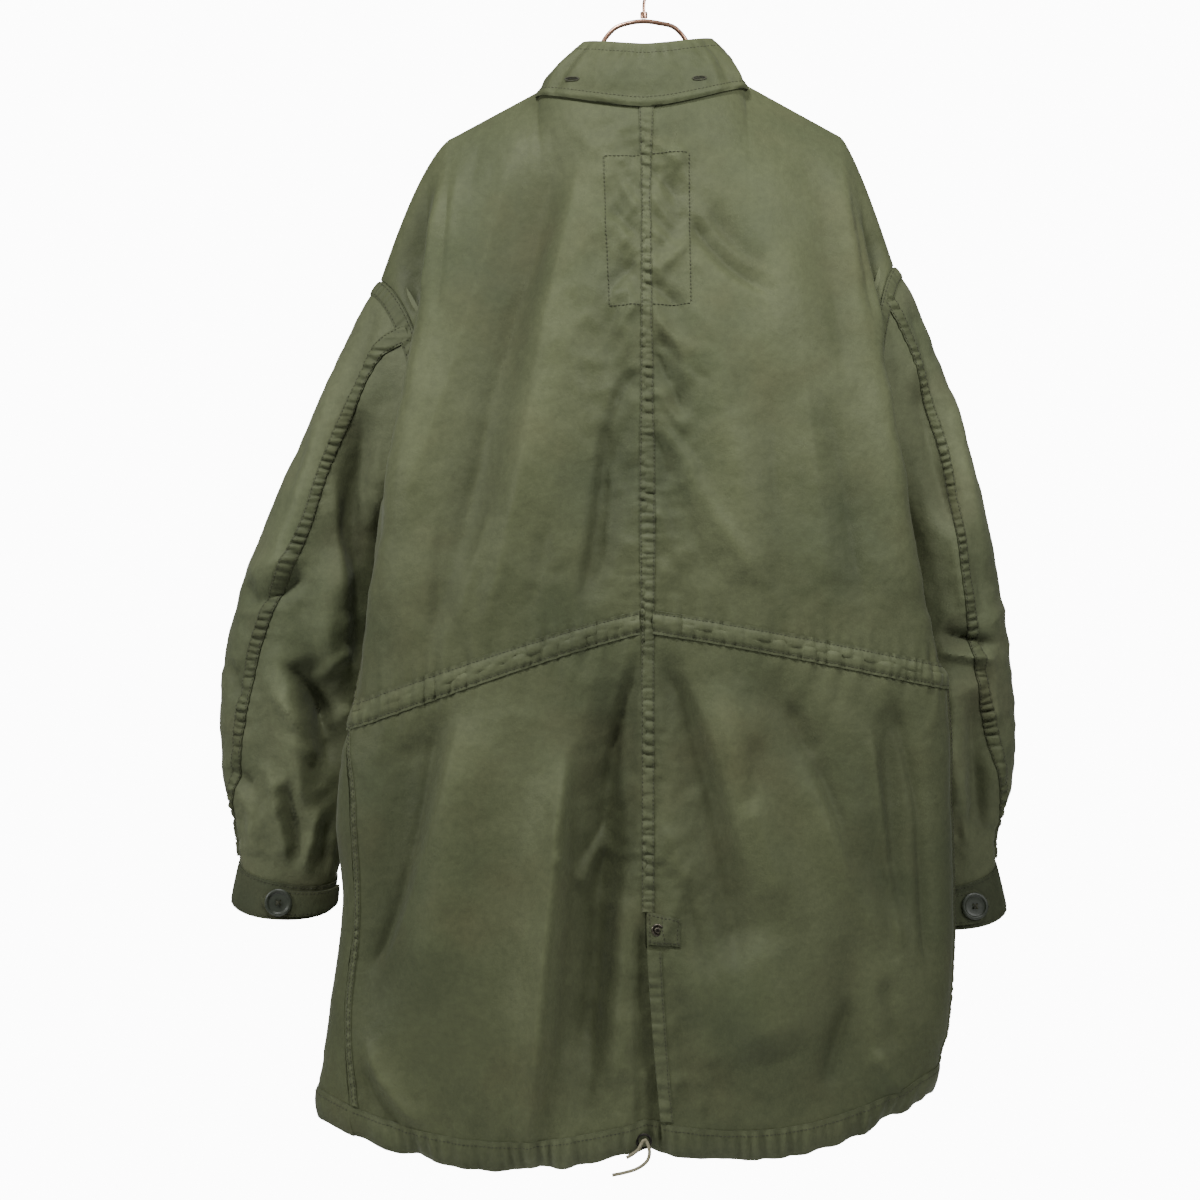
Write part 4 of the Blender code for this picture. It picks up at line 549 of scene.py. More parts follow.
def torso_form(u, v):
    """The body without folds. Above the underarm its edges follow the armholes."""
    u, v = np.broadcast_arrays(np.asarray(u, float), np.asarray(v, float))
    levels = np.stack([shoulder_line(u)] + [torso_row(row, u) for row in TORSO_ROWS])
    points = at_level(levels, v)
    share = np.where(np.abs(u) <= 1, np.abs(u), 2 - np.abs(u))
    edge_u = np.where(u >= 0, 1.0, -1.0)
    back = np.abs(u) <= 1
    turn = math.pi * np.clip(v / UNDERARM_V, 0, 1)
    angle = np.where(back, turn, -turn)
    armhole = np.where(
        (u >= 0)[..., None],
        sleeve_section(SLEEVE_RIGHT, angle, np.zeros(v.shape)),
        sleeve_section(SLEEVE_LEFT, angle, np.zeros(v.shape)),
    )
    side = np.where(back, -1.0, 1.0)
    armhole[..., 1] += side * RIDGE_Y * (1 - np.clip(v / UNDERARM_V, 0, 1))
    own, other = edge_rings(edge_u, back), edge_rings(edge_u, ~back)
    to_armhole = armhole - at_level(own, np.minimum(v, UNDERARM_V))
    to_armhole *= (1 - smoothstep((v - UNDERARM_V) / 0.07))[..., None]
    below = np.where(v > UNDERARM_V, 0.5, 0.0)[..., None]
    to_side_line = (at_level(other, v) - at_level(own, v)) * below
    pull = smoothstep((share - 0.78) / 0.22)
    return points + (to_armhole + to_side_line) * pull[..., None]


def panel_limits(u):
    """The lowest and highest u of the panel that each u is on."""
    low = np.where(u >= 0, np.where(u <= 1, 0.0, 1.0), np.where(u >= -1, -1.0, -2.0))
    return low, low + 1.0


def puckers_on_body(u, v, points, share):
    """Gathers at the waist channel, the hem and the seams, in metres."""
    x, z = points[..., 0], points[..., 2]
    side = np.where(u < 0, 3.0, 0.0)
    from_waist = np.maximum(np.abs(v - WAIST_V) - CHANNEL, 0)
    above = np.where(v < WAIST_V, 0.0, 2.0)
    height = 0.0013 * gathers(x, 0.0125, side) * np.exp(-from_waist / 0.011)
    height += 0.0013 * gathers(x + from_waist * 0.3, 0.026, side + above) * np.exp(-from_waist / 0.030)
    height += 0.0009 * gathers(x - from_waist * 0.2, 0.047, side + above) * np.exp(-from_waist / 0.060)
    from_hem = 1.0 - v
    height += 0.0008 * gathers(x, 0.0118, side + 1) * np.exp(-from_hem / 0.010)
    height += 0.0016 * gathers(x, 0.029, side + 4) * np.exp(-from_hem / 0.028)
    # beside the centre seam, then down the open vent's edges and beside the side seams
    centre = share * 0.26
    at_seam = (v < VENT_V + 0.02) * (v > 0.01)
    ladder = gathers(z + 0.15 * centre, 0.0112, side)
    height += 0.0007 * ladder * np.exp(-np.maximum(centre - 0.005, 0) / 0.007) * at_seam
    tail = (v > VENT_V) * np.exp(-centre / 0.006)
    height += 0.0008 * gathers(z, 0.0135, side + 2) * tail
    from_side = (1.0 - share) * 0.28
    height += 0.0005 * gathers(z, 0.0097, side + 5) * np.exp(-from_side / 0.010) * (v > UNDERARM_V)
    return height


def body_relief(u, v, points):
    """How far the worn cloth stands off the plain form: folds, waves, crumples and gathers."""
    a = np.abs(u)
    behind, before = smoothstep((1.10 - a) / 0.22), smoothstep((a - 1.02) / 0.22)
    x, z = points[..., 0], points[..., 2]
    share = np.where(a <= 1, a, 2 - a)
    height = behind * fold_height(BACK_FOLDS, x, z) + before * fold_height(FRONT_FOLDS, x, z)
    height = (1.45 - 0.15 * smoothstep((v - 0.50) / 0.08)) * height
    calm = 1.0 - 0.55 * smoothstep((v - 0.56) / 0.10)
    height = height + calm * rumple(x + np.where(a > 1, 0.37, 0.0), z)
    # most crumpled beside the centre seam, at the waist and over the hem
    centre, waist = near(x, 0.0, 0.055), near(v, WAIST_V, 0.060)
    crumpled = 0.30 + 2.60 * centre * smoothstep((0.34 - v) / 0.14) + 0.90 * centre + 1.20 * waist
    crumpled += (0.9 * near(x, -0.02, 0.09) * smoothstep((v - 0.62) / 0.1)
                 + 1.1 * smoothstep((v - 0.88) / 0.10))
    height += crumple(x + np.where(a > 1, 0.53, 0.0), z) * crumpled
    height += crumple(1.9 * x + 0.31, 1.9 * z) * (1.5 * centre * (v < VENT_V) + 0.7 * waist)
    # held flat at the armhole and under the waist channel, full at the left side above it
    at_armhole = smoothstep((1.0 - share) / 0.10)
    height = height * np.where(v < UNDERARM_V + 0.05, at_armhole, 1.0)
    height = height * (0.1 + 0.9 * smoothstep((np.abs(v - WAIST_V) - CHANNEL) / 0.05))
    height = height + 0.008 * near(z, -0.570, 0.07) * near(share, 1.0, 0.16) * (u < 0)
    seam = 0.50 + 0.50 * smoothstep((share - 0.008) / 0.03)  # the felled seam lies flatter
    height = height * np.where((a < 1) & (v < VENT_V), seam, 1.0)
    height = height + puckers_on_body(u, v, points, share)
    height = height * smoothstep(v / 0.05) * smoothstep((1.06 - v) / 0.10)
    return height * np.where(v < UNDERARM_V + 0.03, 0.15 + 0.85 * smoothstep((1 - share) / 0.03), 1.0)


def body_form(u, v):
    """The body's outer face with its creases and gathers, and how far each point stands out."""
    points = torso_form(u, v)
    low, high = panel_limits(u)
    n = normals(torso_form, u, v, low=low + 1e-5, high=high - 1e-5)
    room = np.minimum(np.minimum(u - low, high - u) * 0.9, 0.05)
    rounded = (torso_form(u - room, v) + 2 * points + torso_form(u + room, v)) / 4
    points = points + (rounded - points) * (smoothstep(v / 0.04) * smoothstep(room / 0.04))[..., None]
    height = body_relief(u, v, points)
    return points + n * height[..., None], n, height


# ---------------------------------------------------------------- making cloth shells
def grid_normals(points, like):
    """Unit normals of a grid of points, turned to the side that like points to."""
    across = np.gradient(points, axis=1)
    down = np.gradient(points, axis=0)
    n = np.cross(down, across)
    n /= np.maximum(np.linalg.norm(n, axis=-1, keepdims=True), 1e-12)
    facing = np.sign(np.sum(n * like, axis=-1, keepdims=True))
    return n * np.where(facing == 0, 1, facing)


def refine(keys, pitch):
    """Numbers from the first key to the last, about pitch apart, with every key among them."""
    found = [keys[0]]
    for a, b in zip(keys, keys[1:]):
        count = max(1, int(round((b - a) / pitch)))
        found.extend(a + (b - a) * (k + 1) / count for k in range(count))
    return np.array(found)


def shell_faces(rows, cols, closed):
    """The faces of a shell whose inner points are numbered on from its outer ones, and how many
    of them lie on the outer side."""
    count, last = rows * cols, cols if closed else cols - 1
    r, c = np.meshgrid(np.arange(rows - 1), np.arange(last), indexing="ij")
    d = (c + 1) % cols
    quads = np.stack([r * cols + c, r * cols + d, (r + 1) * cols + d, (r + 1) * cols + c], axis=-1)
    quads = quads.reshape(-1, 4)
    rim = [(k, (k + 1) % cols) for k in range(last)]
    rim += [((rows - 1) * cols + (k + 1) % cols, (rows - 1) * cols + k) for k in range(last)]
    if not closed:
        rim += [((k + 1) * cols, k * cols) for k in range(rows - 1)]
        rim += [(k * cols + cols - 1, (k + 1) * cols + cols - 1) for k in range(rows - 1)]
    rim = np.array(rim)
    rims = np.stack([rim[:, 1], rim[:, 0], rim[:, 0] + count, rim[:, 1] + count], axis=-1)
    return np.concatenate([quads, quads[:, ::-1] + count, rims]), len(quads)


def lay_flat(outer):
    """Each point's place on the cut cloth, in metres along its row and its column."""
    rows, cols = outer.shape[:2]
    step_a = np.linalg.norm(np.diff(outer, axis=1), axis=-1)
    step_d = np.linalg.norm(np.diff(outer, axis=0), axis=-1)
    across = np.concatenate([np.zeros((rows, 1)), np.cumsum(step_a, axis=1)], axis=1)
    down = np.concatenate([np.zeros((1, cols)), np.cumsum(step_d, axis=0)], axis=0)
    return np.stack([across, down], axis=-1).reshape(-1, 2)


def cloth_shell(name, outer, inner, crest, closed=False):
    """A closed shell between two grids of points. crest says how far each point stands out,
    from -1 to 1; the colour paints light on the crests and shade in the troughs from it."""
    rows, cols = outer.shape[:2]
    count = rows * cols
    points = np.concatenate([outer.reshape(-1, 3), inner.reshape(-1, 3)])
    faces, outside = shell_faces(rows, cols, closed)
    sample = faces[outside // 2]
    mid = points[sample]
    outward = mid[0] - points[sample[0] + count]
    if not np.dot(np.cross(mid[1] - mid[0], mid[3] - mid[0]), outward) > 0:
        faces = faces[:, ::-1]
    mesh = bpy.data.meshes.new(name)
    mesh.from_pydata(points.tolist(), [], faces.tolist())
    flat = np.tile(lay_flat(outer), (2, 1))
    corner = np.empty(len(mesh.loops), dtype=np.int32)
    mesh.loops.foreach_get("vertex_index", corner)
    mesh.uv_layers.new(name="cut")
    mesh.uv_layers["cut"].data.foreach_set("uv", flat[corner].ravel())
    crest = np.clip(crest, -1, 1).reshape(-1)
    # the crest attribute, from which the colour paints the folds' light and shade
    made = mesh.attributes.new("crest", "FLOAT", "POINT")
    made.data.foreach_set("value", np.concatenate([crest, crest * 0]))
    mesh.shade_smooth()
    mesh.set_sharp_from_angle(angle=math.radians(62))
    piece = bpy.data.objects.new(name, mesh)
    bpy.context.scene.collection.objects.link(piece)
    return piece


def sew_on(piece, finish, stands_for=()):
    """Gives a piece its finish and its place on the one body."""
    piece.data.materials.clear()
    piece.data.materials.append(finish)
    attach(piece, "root")
    if stands_for:
        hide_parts(*stands_for)
    return piece


def stitches(name, runs, finish, lift=0.0002):
    """Rows of thread stitches. Each run is a line of points and the normals there."""
    corners, faces = [], []
    half = THREAD / 2
    for line, n in runs:
        steps = np.concatenate([[0], np.cumsum(np.linalg.norm(np.diff(line, axis=0), axis=1))])
        starts = np.arange(0.001, steps[-1] - STITCH, STITCH + STITCH_GAP)
        for start in starts:
            at = np.array([start, start + STITCH * 0.5, start + STITCH])
            spots = np.stack([np.interp(at, steps, line[:, k]) for k in range(3)], axis=1)
            out = np.array([np.interp(at[1], steps, n[:, k]) for k in range(3)])
            out /= np.linalg.norm(out)
            along = spots[2] - spots[0]
            along /= max(np.linalg.norm(along), 1e-9)
            side = np.cross(along, out) * half
            first = len(corners)
            for spot, rise, wide in zip(spots, (-0.2, 1.0, -0.2), (0.7, 1.0, 0.7)):
                top = spot + out * (lift + THREAD * rise * 0.6)
                low = spot - out * THREAD * 0.5
                corners += [low - side * wide, top - side * wide * 0.5,
                            top + side * wide * 0.5, low + side * wide]
            for k in (0, 4):
                a = first + k
                faces += [(a + 1, a, a + 4, a + 5), (a + 2, a + 1, a + 5, a + 6),
                          (a + 3, a + 2, a + 6, a + 7), (a, a + 3, a + 7, a + 4)]
            faces += [(first, first + 1, first + 2, first + 3),
                      (first + 11, first + 10, first + 9, first + 8)]
    mesh = bpy.data.meshes.new(name)
    mesh.from_pydata([tuple(p) for p in corners], [], faces)
    mesh.shade_smooth()
    piece = bpy.data.objects.new(name, mesh)
    bpy.context.scene.collection.objects.link(piece)
    return sew_on(piece, finish)


# ---------------------------------------------------------------- finishes
def linear(code):
    """An sRGB hex colour as linear red, green, blue and alpha."""
    parts = [int(code[k: k + 2], 16) / 255 for k in (1, 3, 5)]
    return tuple(c / 12.92 if c <= 0.04045 else ((c + 0.055) / 1.055) ** 2.4 for c in parts) + (1.0,)


def add(tree, kind, links=(), **settings):
    """Adds a node; settings name its properties or inputs, links are (input, node, output)."""
    node = tree.nodes.new(kind)
    for key, value in settings.items():
        if hasattr(node, key):
            setattr(node, key, value)
        else:
            node.inputs[key.replace("_", " ")].default_value = value
    for into, source, out in links:
        tree.links.new(source.outputs[out], node.inputs[into])
    return node


def start_finish(name, roughness, metallic=0.0):
    """A new material, with its node tree and its shader."""
    made = bpy.data.materials.new(name)
    made.use_nodes = True
    tree = made.node_tree
    shader = tree.nodes["Principled BSDF"]
    shader.inputs["Roughness"].default_value = roughness
    shader.inputs["Metallic"].default_value = metallic
    return made, tree, shader


def ramp(tree, source, out, stops):
    """A colour ramp. Each stop is a place and then a hex colour or a grey."""
    node = add(tree, "ShaderNodeValToRGB", [("Fac", source, out)])
    while len(node.color_ramp.elements) < len(stops):
        node.color_ramp.elements.new(0.5)
    for element, (place, colour) in zip(node.color_ramp.elements, stops):
        element.position = place
        element.color = linear(colour) if isinstance(colour, str) else (colour,) * 3 + (1.0,)
    return node


def marks(tree, place, per_metre, detail, **settings):
    """Soft uneven marks of one size, so many of them in a metre."""
    return add(tree, "ShaderNodeTexNoise", [("Vector", place, "Object")], Scale=per_metre,
               Detail=detail, **settings)


# The cloth's relief that is too fine for the mesh, one row laid over the other: how many marks in
# a metre, their detail, roughness and twist, then the bump's strength and its depth in metres.
RELIEF = (
    (19.0, 3.0, 0.50, 0.6, 0.40, 0.0030),  # soft waves
    (55.0, 5.0, 0.62, 0.0, 0.75, 0.0018),  # crumples
    (700.0, 2.0, 0.50, 0.0, 0.30, 0.0003),  # threads 0.2 mm apart, drawn as 1.4 mm slubs to show
)
DYE_PATCHES, TAN_PATCHES, WASH_FLECKS = 7.0, 11.0, 170.0  # in a metre


def cloth_relief(tree, place):
    """The bumps of RELIEF, each laid over the one before."""
    bump, under = None, []
    for per_metre, detail, roughness, twist, strength, depth in RELIEF:
        found = marks(tree, place, per_metre, detail, Roughness=roughness, Distortion=twist)
        bump = add(tree, "ShaderNodeBump", [("Height", found, "Fac"), *under], Strength=strength,
                   Distance=depth)
        under = [("Normal", bump, "Normal")]
    return bump


def cloth_colour(tree, place, tan, dark, main, worn, brown):
    """Patchy dye with tan stains, mottled by the washing, and painted light and shade: paler where the
    cloth stands out, darker in its troughs.
    """
    patch = marks(tree, place, DYE_PATCHES, 3.0)
    tone = ramp(tree, patch, "Fac", [(0.30, dark), (0.52, main), (0.78, worn)])
    tan_share = ramp(tree, tan, "Fac", [(0.55, 0.0), (0.75, 0.32)])
    mixed = add(tree, "ShaderNodeMix", data_type="RGBA")
    tree.links.new(tan_share.outputs["Color"], mixed.inputs[0])
    tree.links.new(tone.outputs["Color"], mixed.inputs[6])
    mixed.inputs[7].default_value = linear(brown)
    # painted light and shade of the folds: crests painted pale, troughs painted dark
    crest = add(tree, "ShaderNodeAttribute", attribute_name="crest")
    fold_light_and_shade = add(tree, "ShaderNodeMapRange", [("Value", crest, "Fac")], From_Min=-1.0, To_Min=0.86,
              To_Max=1.16)
    fleck = marks(tree, place, WASH_FLECKS, 4.0)
    mottle = add(tree, "ShaderNodeMapRange", [("Value", fleck, "Fac")], To_Min=0.80, To_Max=1.20)
    both = add(tree, "ShaderNodeMath", [(0, fold_light_and_shade, "Result"), (1, mottle, "Result")],
               operation="MULTIPLY")
    toned = add(tree, "ShaderNodeVectorMath", [(0, mixed, 2)], operation="SCALE")
    tree.links.new(both.outputs["Value"], toned.inputs["Scale"])
    return toned


def cotton_sateen(name, main="#4a4f36", dark="#424831", worn="#54593f", brown="#4d4a33"):
    """Vat-dyed cotton sateen, washed many times: patchy olive, with painted light on each crest and
    painted shade in each trough, faint sheen.
    """
    made, tree, shader = start_finish(name, 0.70)
    shader.inputs["Sheen Weight"].default_value = 0.06
    shader.inputs["Sheen Roughness"].default_value = 0.45
    shader.inputs["Specular IOR Level"].default_value = 0.22
    place = add(tree, "ShaderNodeTexCoord")
    tan = marks(tree, place, TAN_PATCHES, 4.0)
    toned = cloth_colour(tree, place, tan, dark, main, worn, brown)
    tree.links.new(toned.outputs["Vector"], shader.inputs["Base Color"])
    tree.links.new(cloth_relief(tree, place).outputs["Normal"], shader.inputs["Normal"])
    rough = ramp(tree, tan, "Fac", [(0.3, 0.58), (0.7, 0.76)])
    tree.links.new(rough.outputs["Color"], shader.inputs["Roughness"])
    return made


def plain_finish(name, colours, mm, roughness, metallic=0.0, bump=0.2, depth=0.0002):
    """A finish with two near tones and a fine grain, mm across."""
    made, tree, shader = start_finish(name, roughness, metallic)
    place = add(tree, "ShaderNodeTexCoord")
    grain = marks(tree, place, 1000 / mm, 4.0)
    tone = ramp(tree, grain, "Fac", [(0.32, colours[0]), (0.68, colours[1])])
    tree.links.new(tone.outputs["Color"], shader.inputs["Base Color"])
    raised = add(tree, "ShaderNodeBump", [("Height", grain, "Fac")], Strength=bump, Distance=depth)
    tree.links.new(raised.outputs["Normal"], shader.inputs["Normal"])
    return made


CLOTH_FINISH = cotton_sateen("cotton sateen, vat dyed and washed")
SEAM_FINISH = cotton_sateen("cotton sateen, rubbed at the seams", "#4a4f37", "#40452f", "#565b42",
                            "#4d4a34")
# the sleeves' copy of the cloth is painted lighter, for the light that falls on them; the cloth itself
# is the same
SLEEVE_PAINTED_LIGHTER_FINISH = cotton_sateen("cotton sateen, sleeves, painted lighter", "#565b42", "#4c523a", "#61664b",
                              "#585440")
# the cuffs' copy of the cloth is painted darker, for the shade that they hang in
CUFF_PAINTED_DARKER_FINISH = cotton_sateen("cotton sateen, cuffs, painted darker", "#3d422e", "#373c29", "#464b35",
                            "#423f2c")
THREAD_FINISH = plain_finish("polyester core thread", ("#26271a", "#3d3e29"), 1.5, 0.7)
BUTTON_FINISH = plain_finish("urea button, moulded", ("#31362c", "#3b4036"), 6.0, 0.38, bump=0.05)
SNAP_FINISH = plain_finish("snap brass, blackened and rubbed", ("#2c2a27", "#6a6457"), 2.5, 0.38, 0.9)
# dark metal of the eyelet ring; the same finish paints the shade in the buttonholes' slits
EYELET_METAL_AND_SLIT_SHADE_FINISH = plain_finish("snap brass, dark ring, also painted slit shade", ("#1d1c1a", "#3a3733"), 2.0, 0.42, 0.8)
CORD_FINISH = plain_finish("cotton lace, braided and faded", ("#6a6650", "#8c8770"), 1.4, 0.85,
                           bump=0.8, depth=0.0004)
WIRE_FINISH = plain_finish("steel wire, copper-toned plate", ("#a07862", "#c9a188"), 14.0, 0.26, 0.9,
                           bump=0.03)


# ---------------------------------------------------------------- body panels
PANEL_KEYS = (0.0, 0.035, 0.10, 0.18, 0.26, 0.34, 0.38, 0.465, 0.5125, 0.5375, 0.62, 0.70, 0.79, 0.87,
              0.955, 1.0)
BACK_KEYS = (0.0, 0.0112, 0.30, 0.65, 0.85, 0.96, 1.0)
FRONT_KEYS = (1.0, 1.04, 1.15, 1.45, 1.70, 1.94, 2.0)
SIDE_GAP = 0.0009
# How far the underlap runs on past the centre, how deep it lies, and how far the upper edge
# swings open at the hem: the first and last are shares of a half back.
UNDERLAP, UNDERLAP_DEPTH, VENT_DRIFT = 0.056, 0.009, 0.034
# The mesh pitch down and across, then the flat size and area of the cut panel.
BACK_PANEL = (0.0038, 0.0072, (0.32, 1.06), 0.29)
FRONT_PANEL = (0.0062, 0.0115, (0.30, 1.00), 0.25)


def panel_surface(side, back, v, share):
    """Points, normals and heights of a panel at rows v and shares of a half back."""
    v, share = np.broadcast_arrays(v, share)
    if back:
        drift = VENT_DRIFT * np.clip((v - VENT_V) / (1 - VENT_V), 0, 1) ** 1.6
        edge = drift if side > 0 else -UNDERLAP * smoothstep((v - VENT_V - 0.03) / 0.04)
        share = np.clip(edge + share * (1 - edge), edge + SIDE_GAP, 1 - SIDE_GAP)
    else:
        share = np.clip(share, 1 + SIDE_GAP, 2 - SIDE_GAP)
    points, n, height = body_form(side * share, v)
    if back and side < 0:
        x = points[..., 0]
        tuck = smoothstep((x + 0.014) / 0.010) * smoothstep((v - VENT_V) / 0.04)
        points = points - n * (UNDERLAP_DEPTH * tuck)[..., None]
    return points, n, height


def make_panel(name, side, back):
    """One of the four body panels."""
    down, across, flat, area = BACK_PANEL if back else FRONT_PANEL
    v = refine(PANEL_KEYS, down)[:, None]
    share = refine(BACK_KEYS if back else FRONT_KEYS, across)[None, :]
    points, base_n, height = panel_surface(side, back, v, share)
    n = grid_normals(points, base_n)
    piece = cloth_shell(name, points, points - n * CLOTH, crest=height / 0.009)
    sew_on(piece, CLOTH_FINISH, [name])


def waist_channel(name, side, back):
    """The drawn channel: puffed between its two rows of stitches, pinched at each row."""
    q = np.linspace(0, 1, 17)[:, None]
    v = WAIST_V - CHANNEL * 0.93 + 2 * CHANNEL * 0.93 * q
    first, last = (0.014, 0.9975) if back else (1.0025, 1.94)
    share = np.arange(first, last, 0.0052)[None, :]
    points, base_n, _ = panel_surface(side, back, v, share)
    n = grid_normals(points, base_n)
    x = points[..., 0]
    start = 2.0 if side > 0 else 5.0
    slant = x + (q - 0.5) * 0.006
    lumps = 0.5 * gathers(slant, 0.041, start) + 0.3 * gathers(slant, 0.023, start + 1)
    rows = near(q, 0.12, 0.08) + near(q, 0.88, 0.08)
    puff = np.sin(math.pi * q) ** 0.8
    ribs = gathers(x + 0.0012 * np.sin(q * 5 + x * 90), 0.0088, start)
    fine = gathers(x + 0.002 * q, 0.0053, start + 3)
    lift = 0.0015 + 0.0019 * puff * (1 + 0.25 * lumps) - 0.0010 * rows * (1 - 0.6 * ribs)
    lift = lift + (0.0008 * ribs + 0.0003 * fine) * (0.45 + 0.55 * np.abs(2 * q - 1))
    lift = np.maximum(lift, 0.0003)
    outer, inner = points + n * lift[..., None], points + n * 0.0002
    piece = cloth_shell(name, outer, inner, crest=(lift - 0.0018) / 0.0014)
    sew_on(piece, SEAM_FINISH, [name])
    return [(outer[k], n[k]) for k in (2, 14)]


def casing_directions(edge, base_n):
    """Down along the hanging casing and outwards from it, at each point of the panel's edge."""
    down = edge[1] - edge[0]
    spread = np.ones(13) / 13  # the casing hangs straighter than the puckered edge
    down = np.stack([np.convolve(np.pad(down[:, k], 6, mode="edge"), spread, mode="valid")
                     for k in range(3)], axis=-1)
    down /= np.linalg.norm(down, axis=-1, keepdims=True)
    out = base_n[1] - down * np.sum(base_n[1] * down, axis=-1, keepdims=True)
    out /= np.linalg.norm(out, axis=-1, keepdims=True)
    return down, out


def run_on(grid, first, last):
    """Carries each row of a grid on past its ends, by these shares of its end steps."""
    return np.concatenate([grid[:, :1] * (1 + first) - grid[:, 1:2] * first, grid,
                           grid[:, -1:] * (1 + last) - grid[:, -2:-1] * last], axis=1)


def hem_casing(name, side, back):
    """The gathered casing of the hem drawcord: a puffed tube, pinched along its stitches."""
    first, last = (0.0035, 0.9975) if back else (1.0025, 1.9975)
    share = np.arange(first, last, 0.0052)[None, :]
    edge, base_n, _ = panel_surface(side, back, np.array([[0.992], [0.999]]), share)
    down, out = casing_directions(edge, base_n)
    x = edge[1][:, 0]
    start = 1.0 if side > 0 else 4.0
    calm = 1 - 0.65 * smoothstep((np.abs(x) - 0.19) / 0.07)  # the sides hang smoother
    wave, broad = calm * gathers(x, 0.0116, start), calm * gathers(x, 0.031, start + 1)
    reach = HEM_DEPTH * (1 + 0.04 * broad)
    rows, lifts = [], []
    for q in np.append(np.linspace(0, 1, 12), 1.035):  # the last row turns under
        puff = math.sin(math.pi * min(q, 1.0)) ** 0.8
        lift = 0.0008 + 0.0020 * puff + (0.0004 + 0.0014 * puff) * wave + 0.0012 * q * broad
        lift = lift - 0.005 * q**1.4
        if q > 1.0:
            lift = lift - 0.0012
        rows.append(edge[1] + down * (reach * q - 0.0045 * (1 - q))[:, None] + out * lift[:, None])
        lifts.append(lift + 0.005 * q**1.4)
    outer, lifts = np.stack(rows), np.stack(lifts)
    inner = outer - out[None] * 0.0022
    outer, inner = run_on(outer, 0.6, 2.4), run_on(inner, 0.6, 2.4)  # each end meets the next casing
    lifts = np.concatenate([lifts[:, :1], lifts, lifts[:, -1:]], axis=1)
    piece = cloth_shell(name, outer, inner, crest=(lifts - 0.0016) / 0.0018)
    sew_on(piece, SEAM_FINISH, [name])
    return [(outer[2, 1:-1], out)]


def lay_ladder(name, points, base_n, lift, sunk, middle, stands_for=()):
    """Lays a laddered seam on the cloth: a strip that stands lift over it and reaches sunk into
    it. middle is the height that its crests are told from."""
    n = grid_normals(points, base_n)
    outer = points + n * lift[..., None]
    piece = cloth_shell(name, outer, points - n * sunk, crest=(lift - middle) / 0.0012)
    sew_on(piece, SEAM_FINISH, stands_for)
    return outer, n


def felled(across, rung, low, puffed, tall, least):
    """The height of a felled seam: puffed over its width, with rungs that die out at its edges."""
    puff = 1 - np.abs(across) ** 3
    return np.maximum(low + puffed * puff + tall * rung * (0.35 + 0.65 * puff), least)


def centre_seam():
    """The felled centre back seam: a raised ladder of small puckers between two stitch rows."""
    v = np.arange(0.004, VENT_V - 0.0005, 0.0011)[:, None]
    u = np.linspace(-0.0105, 0.0175, 13)[None, :]
    points, base_n, _ = body_form(u + 0 * v, v + 0 * u)
    z = points[..., 2]
    across = np.linspace(-1, 1, 13)[None, :]
    rung = 0.75 * gathers(z + 0.0012 * across, 0.0104, 1.3) + 0.35 * gathers(z, 0.0063, 2.0)
    lift = felled(across, pinched(np.clip(rung, -1, 1)), 0.0008, 0.0005, 0.0012, 0.0004)
    outer, n = lay_ladder("centre_back_seam", points, base_n, lift, -0.0001, 0.0015,
                          ["centre_back_seam"])
    return [(outer[:, k], n[:, k]) for k in (1, 11)]


def side_seams():
    """The felled side seams below the waist and above it, laddered as the others are."""
    runs = []
    across = np.linspace(-1, 1, 11)[None, :]
    v = np.arange(UNDERARM_V + 0.015, 0.992, 0.0024)[:, None]
    for side, tall in ((-1, 0.0011), (1, 0.0006)):
        points, base_n, _ = panel_surface(side, True, v, 0.968 + 0.0145 * across)
        z = points[..., 2]
        rung = pinched(0.7 * gathers(z, 0.0108, 0.4 + side) + 0.3 * gathers(z, 0.0067, side + 2))
        lift = felled(across, rung, 0.0010, 0.0004, tall, 0.0003)
        outer, n = lay_ladder(f"side_seam_{SIDES[side]}", points, base_n, lift, 0.0012, 0.0013)
        runs += [(outer[:, k], n[:, k]) for k in (2, 8)]
    return runs


REINFORCEMENT = ((-0.0395, -0.213), (0.0430, -0.209), (0.0430, -0.357), (-0.0340, -0.359))  # x, z


def reinforcement_stitches():
    """The reinforcement inside the upper back shows only as its rectangle of stitches."""
    runs = []
    share = np.linspace(0, 1, 40)
    for (x0, z0), (x1, z1) in zip(REINFORCEMENT, REINFORCEMENT[1:] + REINFORCEMENT[:1]):
        runs.append(on_back(x0 + (x1 - x0) * share, z0 + (z1 - z0) * share))
    return runs


def on_back(x, z):
    """Points and normals of the back over these x and z, found by stepping over the form."""
    u = np.sign(x) * np.clip(np.abs(x) / 0.24, 0.001, 0.99)
    v = np.clip((-0.16 - z) / 0.98, 0.01, 0.99)
    for _ in range(12):
        points = torso_form(u, v)
        u = np.clip(u + (x - points[..., 0]) / 0.24, -0.99, 0.99)
        v = np.clip(v - (z - points[..., 2]) / 1.0, 0.01, 0.995)
    points, n, _ = body_form(u, v)
    return points, n


# ---------------------------------------------------------------- sleeves
SLEEVE_KEYS = (0.0, 0.04, 0.15, 0.31, 0.49, 0.66, 0.82, 0.96, 1.0)
# Mesh columns round the arm, then the flat size and area of each cut piece.
SLEEVE_PIECES = {"under": (52, (0.20, 0.56), 0.075), "upper": (78, (0.26, 0.62), 0.125)}


def seam_angle(rows, t):
    """Where the back seam runs round the arm, in radians."""
    return np.radians(eased(column(rows, SLEEVE_COLUMNS, "t"), column(rows, SLEEVE_COLUMNS, "seam"), t))


